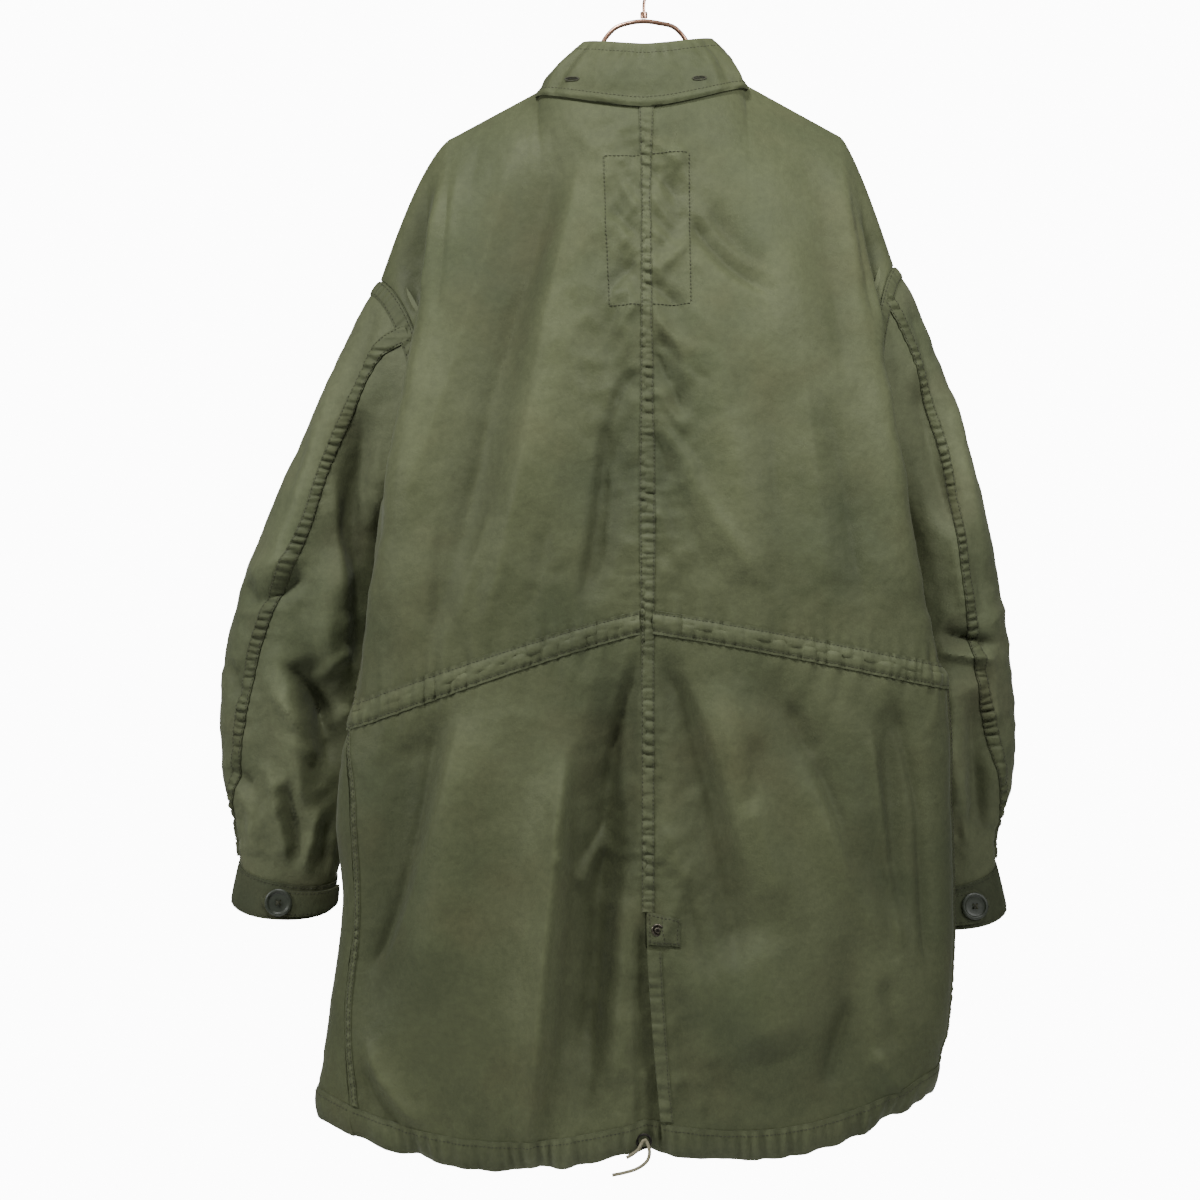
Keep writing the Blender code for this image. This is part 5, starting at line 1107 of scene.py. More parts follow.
def arm_form(side, rows, folds, angle, t):
    """A sleeve's outer face with its creases, gathers above the cuff and ladders at the seam."""
    angle, t = np.broadcast_arrays(np.asarray(angle, float), np.asarray(t, float))

    def plain(a, b):
        return sleeve_section(rows, a, b)

    points, n = plain(angle, t), normals(plain, angle, t)
    n = n if side < 0 else -n
    x, z = points[..., 0], points[..., 2]
    inner = np.abs((angle + 2 * math.pi) % (2 * math.pi) - math.pi)  # from the side next to the body
    height = 1.6 * fold_height(folds, x, z) * np.abs(np.sin(angle)) ** 0.4
    height += rumple(x + 0.61, z)
    height += crumple(x + 0.83, z) * (0.6 + 1.5 * smoothstep((t - 0.42) / 0.25))
    height += crumple(1.9 * x + 0.47, 1.9 * z) * (0.2 + 0.5 * smoothstep((t - 0.5) / 0.25))
    height += 0.008 * near(inner, 0.0, 0.6) * near(t, 0.45, 0.16)
    height *= smoothstep(t / 0.08)
    around = angle * 0.055
    height += 0.0011 * gathers(around, 0.014, 1.0) * np.exp(-(1 - t) / 0.045)
    height += 0.0034 * gathers(around, 0.034, 2.0) * np.exp(-(1 - t) / 0.10) * smoothstep(t / 0.1)
    off = np.abs((angle - seam_angle(rows, t) + math.pi) % (2 * math.pi) - math.pi) * 0.06
    height += 0.0007 * gathers(z, 0.0118, 2.0) * np.exp(-off / 0.007) * smoothstep(t / 0.04)
    height = height * smoothstep((1.0 - t) / 0.07)
    return points + n * height[..., None], n, height


def make_sleeve(side, rows, folds, cuff):
    """Both cut pieces of a sleeve: each is tucked in at the armhole and runs into the cuff."""
    t = refine(SLEEVE_KEYS, 0.0064)[:, None]
    seam, gap, under = seam_angle(rows, t), math.radians(0.35), math.radians(UNDER_SPAN)
    for part, start, end in (
        ("under", seam + gap, seam + under - gap),
        ("upper", seam - 2 * math.pi + under + gap, seam - gap),
    ):
        columns, flat, area = SLEEVE_PIECES[part]
        angle = start + (end - start) * np.linspace(0, 1, columns)[None, :]
        points, base_n, height = arm_form(side, rows, folds, angle, t + 0 * angle)
        n = grid_normals(points, base_n)
        band = sleeve_section(cuff, angle[-1:], 0.14 + 0 * angle[-1:])
        points = np.concatenate([points, band - n[-1:] * 0.0036])
        n, height = np.concatenate([n, n[-1:]]), np.concatenate([height, height[-1:]])
        step = points[1] - points[0]
        step /= np.linalg.norm(step, axis=-1, keepdims=True)
        tucked = points[:1] - step * 0.011 - n[:1] * 0.0040
        points[0] -= n[0] * 0.0012
        points, n = np.concatenate([tucked, points]), np.concatenate([n[:1], n])
        height = np.concatenate([height[:1], height])
        name = f"sleeve_{SIDES[side]}_{part}"
        piece = cloth_shell(name, points, points - n * CLOTH, crest=height / 0.008)
        sew_on(piece, SLEEVE_PAINTED_LIGHTER_FINISH, [name])
    return sleeve_ladder(side, rows, folds) + armhole_ladder(side, rows, folds)


def sleeve_ladder(side, rows, folds):
    """The sleeve's felled back seam, which lies on the upper piece's edge."""
    across = np.linspace(-1, 1, 11)[None, :]
    t = np.arange(0.012, 0.988, 0.0022)[:, None]
    angle = seam_angle(rows, t) - 0.098 + 0.095 * across
    points, base_n, _ = arm_form(side, rows, folds, angle, t + 0 * angle)
    z = points[..., 2]
    rung = 0.80 * gathers(z + 0.0015 * across, 0.0082, 0.7) + 0.30 * gathers(z, 0.0057, 1.0)
    lift = felled(across, pinched(np.clip(rung, -1, 1)), 0.0008, 0.0005, 0.0017, 0.0004)
    name = f"sleeve_{SIDES[side]}_seam"
    outer, n = lay_ladder(name, points, base_n, lift, -0.0001, 0.0014, [name])
    return [(outer[:, k], n[:, k]) for k in (1, 9)]


def armhole_ladder(side, rows, folds):
    """The seam round the armhole, with its two rows of stitches."""
    angle = np.linspace(0, 2 * math.pi, 340)[None, :]
    across = np.linspace(-1, 1, 9)[:, None]
    t = 0.0155 + 0.0135 * across + 0 * angle
    points, base_n, _ = arm_form(side, rows, folds, angle + 0 * across, t)
    rung = gathers(angle * 0.12, 0.0115, 0.2)
    lift = 0.0006 + 0.0009 * (1 - np.abs(across) ** 3) + 0.0009 * rung * (1 - across**4)
    outer, n = lay_ladder(f"armhole_seam_{SIDES[side]}", points, base_n, np.maximum(lift, 0.0003),
                          0.0006, 0.0013)
    return [(outer[k], n[k]) for k in (1, 7)]


CUFF_TAB = {-1: (67, 168, 86), 1: (52, 150, 70)}  # tip, root and button, in degrees round the cuff


def on_cuff(side, rows, angle, t):
    """Points on the cuff's plain form, and the outward normals there."""
    def band(a, b):
        return sleeve_section(rows, a, b)

    n = normals(band, angle, t)
    return band(angle, t), n if side < 0 else -n


def cuff_band(side, rows):
    """The band, puckered a little along the stitches near both its edges."""
    angle = np.linspace(0, 2 * math.pi, 150, endpoint=False)[None, :]
    t = np.linspace(0, 1, 15)[:, None]
    angle, t = angle + 0 * t, t + 0 * angle
    points, n = on_cuff(side, rows, angle, t)
    around = angle * 0.052
    edge = near(t, 0.06, 0.06) + near(t, 0.94, 0.06)
    lift = 0.0004 * gathers(around, 0.011, 1.0) * (0.4 + edge) - 0.0004 * edge
    lift = lift + 0.0007 * np.sin(around * 95 + 1) * np.sin(t * 2.4)
    outer = points + n * lift[..., None]
    name = f"cuff_{SIDES[side]}"
    piece = cloth_shell(name, outer, outer - n * 0.0024, crest=lift / 0.0010, closed=True)
    sew_on(piece, CUFF_PAINTED_DARKER_FINISH, [name])
    return [tuple(np.concatenate([grid[k], grid[k, :1]]) for grid in (outer, n)) for k in (1, 13)]


def cuff_tab(side, rows):
    """The pointed tab over the band. Also gives its button's place and the normal there."""
    tip, root, button_at = CUFF_TAB[side]
    share = np.linspace(0, 1, 46)[None, :]
    point = 0.30 * np.clip(1 - share / 0.14, 0, 1)
    low, high = 0.16 + point, 0.90 - point
    q = np.linspace(0, 1, 13)[:, None]
    t = low + (high - low) * q
    base, n = on_cuff(side, rows, np.radians(tip + (root - tip) * share) + 0 * t, t)
    edge = near(np.minimum(q, 1 - q), 0, 0.12) * np.ones_like(share)
    lift = 0.0040 - 0.0007 * edge + 0.0003 * gathers(share * 0.11, 0.010, 3.0) * edge
    outer = base + n * lift[..., None]
    name = f"cuff_tab_{SIDES[side]}"
    piece = cloth_shell(name, outer, base + n * 0.0011, crest=(lift - 0.0028) / 0.0006)
    sew_on(piece, CUFF_PAINTED_DARKER_FINISH, [name])
    middle, out = on_cuff(side, rows, np.array([[math.radians(button_at)]]), np.array([[0.52]]))
    return [(outer[k], n[k]) for k in (1, 11)], (middle + out * 0.0044)[0, 0], out[0, 0]


# ---------------------------------------------------------------- collar
COLLAR_TOP = {"x_left": -0.0610, "x_right": 0.0680, "y_back": -0.044, "y_front": 0.050,
              "z_back": -0.1005, "z_left": -0.0930, "z_right": -0.0895, "z_front": -0.1500}
# Creases that run down the collar: turn in radians, half width, height.
COLLAR_CREASES = (
    (-1.20, 0.09, 0.0034), (-1.02, 0.07, -0.0030), (-0.86, 0.06, 0.0016), (-0.35, 0.16, 0.0016),
    (-0.12, 0.09, -0.0012), (0.10, 0.10, 0.0010), (0.45, 0.12, -0.0014), (0.84, 0.06, 0.0014),
    (1.02, 0.07, -0.0028), (1.22, 0.09, 0.0034),
)


def collar_top(turn):
    """The line of the collar's top edge."""
    s, c = np.sin(turn), np.cos(turn)
    x = np.where(s >= 0, COLLAR_TOP["x_right"], -COLLAR_TOP["x_left"]) * s
    y = np.where(c >= 0, COLLAR_TOP["y_back"], -COLLAR_TOP["y_front"]) * c
    z_side = np.where(s >= 0, COLLAR_TOP["z_right"], COLLAR_TOP["z_left"])
    z_centre = np.where(c >= 0, COLLAR_TOP["z_back"], COLLAR_TOP["z_front"])
    return np.stack([x, y, z_centre + (z_side - z_centre) * np.abs(s) ** 1.5], axis=-1)


def collar_face(turn, h):
    """The collar's outer face; turn is 0 at the centre back and pi at the front."""
    quarter = np.abs(turn) / (math.pi / 2) * NECK_SHARE
    share = np.where(quarter <= NECK_SHARE, quarter, 2 - 2 * NECK_SHARE + quarter)
    around = np.stack([np.sin(turn), -np.cos(turn), 0 * turn], axis=-1)
    u = np.where(turn >= 0, 1, -1) * np.clip(share, 1e-4, 2 - 1e-4)
    base, n, _ = body_form(u, 0.0050 + 0 * u)
    low, top = base + n * 0.0028, collar_top(turn)
    lip = 0.0020 * near(h, 0.07, 0.06)
    between = np.sin(math.pi * np.clip(h, 0, 1))  # 0 at both edges, 1 half way up
    crease = sum(tall * near(turn, at, half) for at, half, tall in COLLAR_CREASES) * between**0.6
    arc = turn * 0.066
    pinch = 0.0009 * gathers(arc, 0.0100, 1.0) * near(h, 0.86, 0.09)
    pinch = pinch + 0.0003 * gathers(arc, 0.0120, 4.0) * near(h, 0.10, 0.08)
    puff = 0.006 * np.sin(math.pi * h) - 0.0007 * near(h, 0.84, 0.035)
    puff = puff + 1.8 * crumple(arc + 0.2, h * 0.06) * between**0.7
    out = (puff + lip + crease + pinch)[..., None]
    return low + (top - low) * h[..., None] + around * out, around


def make_collar():
    """The standing band. Also gives its outer grid, for the buttonholes."""
    turn = np.linspace(-math.pi + 0.02, math.pi - 0.02, 290)[None, :]
    h = np.concatenate([[0.0, 0.02, 0.045, 0.07, 0.10, 0.14], np.linspace(0.19, 0.97, 20), [0.985, 1.0]])
    turn, h = np.broadcast_arrays(turn, h[:, None])
    outer, around = collar_face(turn, h)
    n = grid_normals(outer, around)
    inner = outer - n * 0.0024
    inner[0] = outer[0] - around[0] * 0.0032
    # painted light along the top fold and the lip, and a little painted shade between them
    crest = near(h, 0.97, 0.05) * 0.9 + near(h, 0.07, 0.04) * 0.7 - 0.15
    piece = cloth_shell("collar", outer, inner, crest=crest)
    sew_on(piece, CLOTH_FINISH, ["collar"])
    rows = [int(np.argmin(np.abs(h[:, 0] - level))) for level in (0.13, 0.84)]
    return [(outer[k], n[k]) for k in rows], outer, n, turn, h


def make_buttonholes(outer, n, turn, h):
    """Two worked buttonholes near the collar's lower edge at the back: an oval of thread, and a dark
    wire down the slit that paints its shade.
    """
    for number, at in enumerate((-0.83, 0.62)):
        c = int(np.argmin(np.abs(turn[0] - at)))
        k = int(np.argmin(np.abs(h[:, 0] - 0.30)))
        along = outer[k, c + 1] - outer[k, c - 1]
        along /= np.linalg.norm(along)
        up = np.cross(n[k, c], along)
        lean = 0.12 if at < 0 else -0.12
        along, up = along + up * lean, up - along * lean
        round_it = np.linspace(0, 2 * math.pi, 37)[:, None]
        middle = outer[k, c] + n[k, c] * 0.0005
        oval = middle + along * np.cos(round_it) * 0.0070 + up * np.sin(round_it) * 0.0019
        sew_on(bend_wire(f"buttonhole_{number}_edge", oval, 0.0014, sides=2), THREAD_FINISH)
        # the slit is a dark wire: painted shade of the cut
        slit = middle + along * np.linspace(-0.0058, 0.0058, 9)[:, None]
        sew_on(bend_wire(f"buttonhole_{number}_slit", slit, 0.0009, sides=2), EYELET_METAL_AND_SLIT_SHADE_FINISH)


# ---------------------------------------------------------------- hard pieces and trims
def start_piece(name):
    """The shape just added, alone and in edit mode, named."""
    piece = bpy.context.object
    piece.name = piece.data.name = name
    bpy.ops.object.mode_set(mode="EDIT")
    bpy.ops.mesh.select_mode(type="FACE")
    return piece


def pick_faces(piece, chosen):
    """Selects only the faces whose middle and normal pass the test."""
    bpy.ops.mesh.select_all(action="DESELECT")
    bpy.ops.object.mode_set(mode="OBJECT")
    for face in piece.data.polygons:
        face.select = chosen(face.center, face.normal)
    bpy.ops.object.mode_set(mode="EDIT")


def add_alone(operator, **settings):
    """Adds a piece with no other piece selected."""
    bpy.ops.object.select_all(action="DESELECT")
    operator(**settings)


def soften_edges(piece, width, segments):
    """Bevels the sharp edges of a hard piece."""
    soften = piece.modifiers.new("soft edge", "BEVEL")
    soften.width, soften.segments, soften.limit_method = width, segments, "ANGLE"
    bpy.ops.object.modifier_apply(modifier=soften.name)


def seat_piece(piece, place, normal):
    """Turns a piece made flat at the origin to face along normal, at place, in its mesh."""
    up = Vector((0.0, 0.0, 1.0))
    out = Vector(normal).normalized()
    side = up.cross(out).normalized()
    turn = Matrix((side, out.cross(side), out)).transposed().to_4x4()
    piece.data.transform(Matrix.Translation(Vector(place)) @ turn)
    piece.data.update()
    return piece


def own_copy(piece, name):
    """A copy of a hard piece, under a name of its own."""
    made = bpy.data.objects.new(name, piece.data.copy())
    made.data.name = name
    bpy.context.scene.collection.objects.link(made)
    return made


BUTTON_HOLES = 0.0026  # from the button's middle to the middle of each hole


def make_button_shape():
    """A four-hole button: a raised rim, a dished face and holes bored through."""
    add_alone(bpy.ops.mesh.primitive_cylinder_add, vertices=56, radius=BUTTON_RADIUS, depth=0.0032,
              location=(0, 0, 0.0016))
    piece = start_piece("button")
    pick_faces(piece, lambda middle, n: n.z > 0.9)
    bpy.ops.mesh.inset(thickness=0.0014, depth=0.0006)
    bpy.ops.mesh.inset(thickness=0.0012, depth=0.0)
    bpy.ops.mesh.inset(thickness=0.0012, depth=-0.0014)
    bpy.ops.mesh.inset(thickness=0.0030, depth=-0.0002)
    pick_faces(piece, lambda middle, n: n.z < -0.9)
    bpy.ops.mesh.inset(thickness=0.0020, depth=0.0)
    bpy.ops.object.mode_set(mode="OBJECT")
    soften_edges(piece, 0.0004, 2)
    for k in range(4):
        turn = math.pi / 4 + k * math.pi / 2
        add_alone(bpy.ops.mesh.primitive_cylinder_add, vertices=16, radius=0.00115, depth=0.02,
                  location=(BUTTON_HOLES * math.cos(turn), BUTTON_HOLES * math.sin(turn), 0))
        drill = bpy.context.object
        bore = piece.modifiers.new("bore", "BOOLEAN")
        bore.operation, bore.object = "DIFFERENCE", drill
        bpy.context.view_layer.objects.active = piece
        bpy.ops.object.modifier_apply(modifier=bore.name)
        bpy.data.objects.remove(drill)
    piece.data.shade_smooth()
    piece.data.set_sharp_from_angle(angle=math.radians(35))
    return piece


def make_snap_shape(radius, tall, domed):
    """A snap: its flange, then a dome for a cap or a socket's ring and stud."""
    add_alone(bpy.ops.mesh.primitive_cylinder_add, vertices=40, radius=radius, depth=tall * 0.4,
              location=(0, 0, tall * 0.2))
    piece = start_piece("snap")
    pick_faces(piece, lambda middle, n: n.z > 0.9)
    if domed:
        steps = ((0.10, 0.25), (0.25, 0.25), (0.35, 0.10))
    else:
        steps = ((0.16, 0.18), (0.12, 0.0), (0.10, -0.22), (0.14, 0.0), (0.03, 0.45), (0.12, 0.12))
    for inwards, raised in steps:
        bpy.ops.mesh.inset(thickness=radius * inwards, depth=tall * raised)
    bpy.ops.object.mode_set(mode="OBJECT")
    soften_edges(piece, radius * 0.03, 2)
    piece.data.shade_smooth()
    piece.data.set_sharp_from_angle(angle=math.radians(40))
    return piece


def smooth_route(points, spacing):
    """A soft curve through the points, with a point at about every spacing."""
    points = np.asarray(points, float)
    steps = np.concatenate([[0], np.cumsum(np.linalg.norm(np.diff(points, axis=0), axis=1))])
    at = np.linspace(0, steps[-1], max(3, int(steps[-1] / spacing) + 1))
    return eased(steps, points, at)


def bend_wire(name, route, diameter, sides=4, as_mesh=True):
    """Round wire or lace along a route, turned to a mesh where it is hard."""
    curve = bpy.data.curves.new(name, "CURVE")
    curve.dimensions = "3D"
    curve.bevel_depth, curve.bevel_resolution, curve.use_fill_caps = diameter / 2, sides, True
    spline = curve.splines.new("POLY")
    spline.points.add(len(route) - 1)
    for point, place in zip(spline.points, route):
        point.co = (*place, 1.0)
    piece = bpy.data.objects.new(name, curve)
    bpy.context.scene.collection.objects.link(piece)
    if as_mesh:
        bpy.ops.object.select_all(action="DESELECT")
        piece.select_set(True)
        bpy.context.view_layer.objects.active = piece
        bpy.ops.object.convert(target="MESH")
        piece = bpy.context.object
        piece.data.shade_smooth()
        piece.data.set_sharp_from_angle(angle=math.radians(50))
    return piece


def make_buttons(seats):
    """Both cuff buttons, each held by two crossed bundles of thread."""
    shape = make_button_shape()
    for name, (place, normal) in seats.items():
        piece = seat_piece(own_copy(shape, name + "_dressed"), place, normal)
        sew_on(piece, BUTTON_FINISH, [name])
        out = np.asarray(normal) / np.linalg.norm(normal)
        level = np.cross((0, 0, 1), out)
        level /= np.linalg.norm(level)
        up = np.cross(out, level)
        runs = []
        for tilt in (-1, 1):
            for shift in (-0.4, 0.0, 0.4):
                reach = (level + up * tilt) / math.sqrt(2) * BUTTON_HOLES
                aside = (level - up * tilt) / math.sqrt(2) * shift / 1000
                ends = np.array([place - reach, place + reach]) + aside + out * 0.0026
                runs.append((ends, np.array([out, out])))
        make_threads(name + "_thread", runs)
    bpy.data.objects.remove(shape)


def make_threads(name, runs):
    """Short whole threads, such as those that hold a button."""
    for k, (ends, out) in enumerate(runs):
        share = np.linspace(0, 1, 7)[:, None]
        route = ends[0] + (ends[1] - ends[0]) * share + out[0] * 0.0006 * np.sin(math.pi * share)
        piece = bend_wire(f"{name}_{k}", route, 0.0007, sides=1)
        sew_on(piece, THREAD_FINISH)


def make_snaps(stud_place, stud_normal):
    """The stud on the vent patch and the six caps down the fly, each on its solid's face."""
    stud = seat_piece(make_snap_shape(0.0060, 0.0040, False), stud_place, stud_normal)
    sew_on(stud, SNAP_FINISH, ["vent_snap"])
    cap = make_snap_shape(0.0075, 0.0030, True)
    for k in range(1, 7):
        low, high = (np.array(side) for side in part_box(f"fly_snap_{k}"))
        place = np.array([(low[0] + high[0]) / 2, high[1] - 0.0026, (low[2] + high[2]) / 2])
        sew_on(seat_piece(own_copy(cap, f"fly_snap_{k}_dressed"), place, (0.0, 1.0, 0.05)),
               SNAP_FINISH, [f"fly_snap_{k}"])
    bpy.data.objects.remove(cap)


def make_fly():
    """The fly flap, with a row of stitches along each edge."""
    v = np.arange(0.012, 0.9985, 0.0045)[:, None]
    share = np.linspace(1.94, 1.9991, 12)[None, :]
    left, left_n, _ = panel_surface(-1, False, v, share)
    right, right_n, _ = panel_surface(1, False, v, share[:, ::-1])
    points = np.concatenate([left, right], axis=1)
    base_n = np.concatenate([left_n, right_n], axis=1)
    n = grid_normals(points, base_n)
    q = np.linspace(0, 1, points.shape[1])[None, :]
    edge = near(np.minimum(q, 1 - q), 0, 0.08)
    lift = 0.0026 - 0.0008 * edge + 0.0003 * gathers(points[..., 2], 0.012, 1.0) * edge
    outer = points + n * lift[..., None]
    piece = cloth_shell("fly_flap", outer, points + n * 0.0003, crest=(lift - 0.0024) / 0.0006)
    sew_on(piece, CLOTH_FINISH, ["fly_flap"])
    return [(outer[:, 1], n[:, 1]), (outer[:, -2], n[:, -2])]


def make_vent_patch():
    """The patch at the vent's top corner. Also gives the place of its snap's stud."""
    r = np.linspace(0, 1, 25)[:, None]
    q = np.linspace(0, 1, 25)[None, :]
    v = VENT_V - 0.001 + (0.0315 - 0.005 * q) * r + 0.004 * q
    share = 0.003 + 0.066 * q + 0 * r
    points, base_n, _ = panel_surface(1, True, v, share)
    n = grid_normals(points, base_n)
    edge = near(np.minimum(np.minimum(q, 1 - q), np.minimum(r, 1 - r)), 0, 0.10)
    lift = 0.0026 - 0.0008 * edge + 0.0002 * gathers(points[..., 0] + points[..., 2], 0.009, 2.0) * edge
    outer = points + n * lift[..., None]
    piece = cloth_shell("vent_patch", outer, points + n * 0.0004, crest=(lift - 0.0024) / 0.0006)
    sew_on(piece, SEAM_FINISH, ["vent_patch"])
    runs = [(outer[2], n[2]), (outer[22], n[22])] + [(outer[:, k], n[:, k]) for k in (2, 22, 12)]
    return runs, outer[13, 8]


def make_vent_edge():
    """The turned and stitched edge of the right half, down the open vent. Also gives the normal
    near its top, which the snap's stud faces along."""
    v = np.arange(VENT_V + 0.036, 0.992, 0.0018)[:, None]
    across = np.linspace(0, 1, 9)[None, :]
    points, base_n, _ = panel_surface(1, True, v, 0.0006 + 0.030 * across)
    rung = pinched(np.clip(gathers(points[..., 2], 0.0105, 2.6), -1, 1))
    lift = 0.0008 + 0.0005 * (1 - np.abs(2 * across - 1) ** 3) + 0.0007 * rung * (1 - across**4)
    outer, n = lay_ladder("vent_edge", points, base_n, np.maximum(lift, 0.0003), -0.0001, 0.0013)
    return [(outer[:, 7], n[:, 7])], base_n[13, 8]


# ---------------------------------------------------------------- hanger and lace
# The hanger's wire: the arch over the collar and the arms up to it in x and z, then the arms'
# two tips in x, y and z.
ARCH = ((-0.0400, -0.0920), (-0.0352, -0.0850), (-0.0275, -0.0778), (-0.0150, -0.0734), (0.0, -0.0716),
        (0.0150, -0.0734), (0.0290, -0.0770), (0.0372, -0.0845), (0.0420, -0.0915))
ARM_LEFT = ((-0.1035, -0.1482), (-0.0640, -0.1300), (-0.0470, -0.1100))
ARM_RIGHT = ((0.0480, -0.1090), (0.0640, -0.1280), (0.0985, -0.1407))
TIPS = ((-0.1740, 0.0, -0.1862), (0.1800, 0.0, -0.1855))
ARCH_TOP, HOOK_RADIUS = -0.0716, 0.0195
HOOK_TURNS = (-72, -45, -18, 10, 38, 66, 94, 122, 150, 178, 200)  # degrees round the crook


def make_hanger():
    """The wire frame, the hook and the nut between them."""
    bend = smooth_route([(x, 0.0, z) for x, z in ARM_LEFT + ARCH + ARM_RIGHT], 0.004)
    route = np.concatenate([[TIPS[0]], bend, [TIPS[1]]])
    sew_on(bend_wire("hanger_frame_dressed", route, WIRE), WIRE_FINISH, ["hanger_frame"])
    foot = ARCH_TOP + WIRE / 2 + 0.0004
    reach, centre = HOOK_RADIUS + HOOK_WIRE / 2, -HOOK_RADIUS
    hook = [(0.0, foot + 0.0070), (0.0, foot + 0.0140), (0.0003, -0.0520)]
    for degrees in HOOK_TURNS:
        turn = math.radians(degrees)
        hook.append((reach * math.cos(turn), centre + reach * math.sin(turn)))
    route = smooth_route([(x, 0.0, z) for x, z in hook], 0.0025)
    sew_on(bend_wire("hanger_hook_dressed", route, HOOK_WIRE), WIRE_FINISH, ["hanger_hook"])
    add_alone(bpy.ops.mesh.primitive_cylinder_add, vertices=32, radius=0.0036, depth=0.0064,
              location=(0, 0, foot + 0.0032))
    nut = start_piece("hanger_nut_dressed")
    pick_faces(nut, lambda middle, n: n.z > 0.9)
    bpy.ops.mesh.inset(thickness=0.0013, depth=0.0)
    bpy.ops.transform.translate(value=(0, 0, 0.0002))
    bpy.ops.object.mode_set(mode="OBJECT")
    soften_edges(nut, 0.0007, 3)
    nut.data.transform(nut.matrix_world)
    nut.matrix_world = Matrix()
    nut.data.shade_smooth()
    sew_on(nut, WIRE_FINISH, ["hanger_nut"])


EYELET_OUT = (0.0, -1.0, 0.0)
# The lace from the eyelet's middle: across, outwards from the casing, and up.
CORD_ROUTE = (
    (-0.0165, 0.0044, -0.0150), (-0.0110, 0.0044, -0.0118), (-0.0050, 0.0044, -0.0070),
    (-0.0020, 0.0040, -0.0010), (0.0010, 0.0036, 0.0018), (0.0034, 0.0042, -0.0020),
    (0.0052, 0.0064, -0.0095), (0.0030, 0.0092, -0.0170), (-0.0060, 0.0102, -0.0240),
    (-0.0180, 0.0100, -0.0280), (-0.0300, 0.0095, -0.0305),
)


def make_lace():
    """The eyelet at the end of the left casing and the drawcord's free ends, out of it."""
    low, high = (np.array(side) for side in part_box("hem_eyelet"))
    middle = (low + high) / 2
    add_alone(bpy.ops.mesh.primitive_torus_add, major_radius=0.0064, minor_radius=0.0012,
              major_segments=40, minor_segments=12, location=(0, 0, 0))
    ring = start_piece("hem_eyelet_dressed")
    bpy.ops.mesh.select_all(action="SELECT")
    bpy.ops.transform.resize(value=(1, 1, 0.8))
    bpy.ops.object.mode_set(mode="OBJECT")
    ring.data.shade_smooth()
    seat_piece(ring, middle, EYELET_OUT)
    sew_on(ring, EYELET_METAL_AND_SLIT_SHADE_FINISH, ["hem_eyelet"])
    start = middle - np.array(EYELET_OUT) * 0.0014
    route = smooth_route([start + (x, -y, z) for x, y, z in CORD_ROUTE], 0.0028)
    lace = bend_wire("drawcord_dressed", route, CORD, sides=4, as_mesh=False)
    sew_on(lace, CORD_FINISH, ["drawcord"])


# ---------------------------------------------------------------- the whole coat
def sew_coat():
    """Makes every piece in turn, and all the stitches."""
    threads = []
    for name, side, back in (
        ("back_left", -1, True), ("back_right", 1, True),
        ("front_left", -1, False), ("front_right", 1, False),
    ):
        make_panel(name, side, back)
        threads += waist_channel("waist_channel_" + name, side, back)
        threads += hem_casing("hem_casing_" + name, side, back)
    threads += centre_seam() + side_seams()
    stitches("reinforcement_stitches", reinforcement_stitches(), THREAD_FINISH, 0.0007)
    seats = {}
    for side, rows, folds, cuff in (
        (-1, SLEEVE_LEFT, LEFT_SLEEVE_FOLDS, CUFF_LEFT),
        (1, SLEEVE_RIGHT, RIGHT_SLEEVE_FOLDS, CUFF_RIGHT),
    ):
        threads += make_sleeve(side, rows, folds, cuff)
        threads += cuff_band(side, cuff)
        runs, place, normal = cuff_tab(side, cuff)
        threads += runs
        seats["button_" + SIDES[side]] = place, normal
    collar_lines, outer, n, turn, h = make_collar()
    threads += collar_lines
    make_buttonholes(outer, n, turn, h)
    threads += make_fly()
    patch_lines, stud_place = make_vent_patch()
    edge_lines, stud_normal = make_vent_edge()
    threads += patch_lines + edge_lines
    stitches("topstitching", threads, THREAD_FINISH)
    make_buttons(seats)
    make_snaps(stud_place, stud_normal)
    make_hanger()
    make_lace()


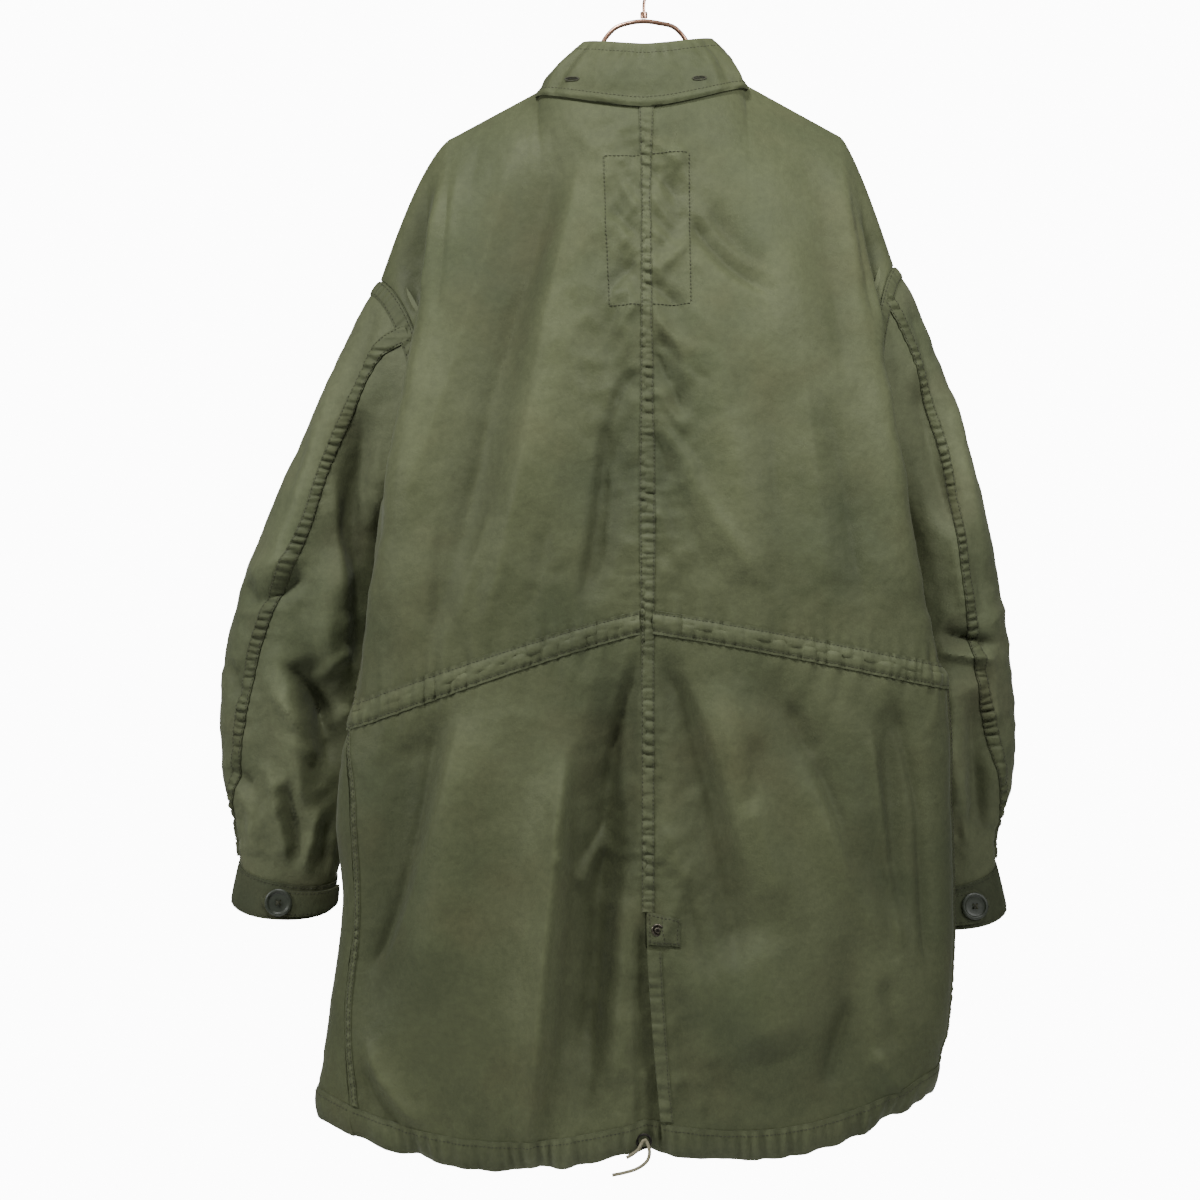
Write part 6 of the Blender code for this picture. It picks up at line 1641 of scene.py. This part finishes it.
def light_room():
    """Soft white walls all round, with a brighter one behind the coat that goes to white."""
    world = bpy.data.worlds.new("white room")
    world.use_nodes = True
    tree = world.node_tree
    place = add(tree, "ShaderNodeTexCoord")
    axes = add(tree, "ShaderNodeSeparateXYZ", [("Vector", place, "Generated")])
    wall = add(tree, "ShaderNodeMapRange", [("Value", axes, "Y")], interpolation_type="SMOOTHSTEP",
               From_Min=0.925, From_Max=0.966, To_Min=0.12, To_Max=12.0)
    tree.links.new(wall.outputs["Result"], tree.nodes["Background"].inputs["Strength"])
    tree.nodes["Background"].inputs["Color"].default_value = (1.0, 1.0, 1.0, 1.0)
    bpy.context.scene.world = world


# Each lamp's place, what it points at, its watts and its size in metres.
LAMPS = {
    "key": ((-0.50, -1.15, 1.10), (0.0, 0.0, -0.30), 40, 0.35),
    "left side": ((-1.75, -0.95, -0.10), (-0.05, 0.0, -0.6), 19, 0.4),
    "right top": ((0.48, -0.68, 0.16), (0.18, -0.10, -0.25), 6.6, 0.25),
    "fill": ((1.7, -1.5, 0.05), (0.2, 0.0, -0.6), 17, 0.8),
}
CAMERA_PLACE, CAMERA_LENS, CAMERA_SENSOR = (-0.043, -3.2, -0.639), 97.9, 36.0


def light_studio():
    """A plain pale floor, soft light, and the camera where the photograph was taken from."""
    add_alone(bpy.ops.mesh.primitive_plane_add, size=2.1, location=(0, 0, -1.45))
    floor = bpy.context.object
    floor.name = "floor"
    made, _, shader = start_finish("pale floor, matt paint", 0.9)
    shader.inputs["Base Color"].default_value = linear("#f6f6f6")
    floor.data.materials.append(made)
    light_room()
    for name, (place, target, watts, size) in LAMPS.items():
        light = bpy.data.lights.new(name, "AREA")
        light.energy, light.size = watts, size
        lamp = bpy.data.objects.new(name, light)
        lamp.location = place
        lamp.rotation_euler = (Vector(target) - Vector(place)).to_track_quat("-Z", "Y").to_euler()
        bpy.context.scene.collection.objects.link(lamp)
    camera = bpy.data.cameras.new("camera")
    camera.lens, camera.sensor_width = CAMERA_LENS, CAMERA_SENSOR
    view = bpy.data.objects.new("camera", camera)
    view.location, view.rotation_euler = CAMERA_PLACE, (math.pi / 2, 0.0, 0.0)
    bpy.context.scene.collection.objects.link(view)
    bpy.context.scene.camera = view


sew_coat()
light_studio()
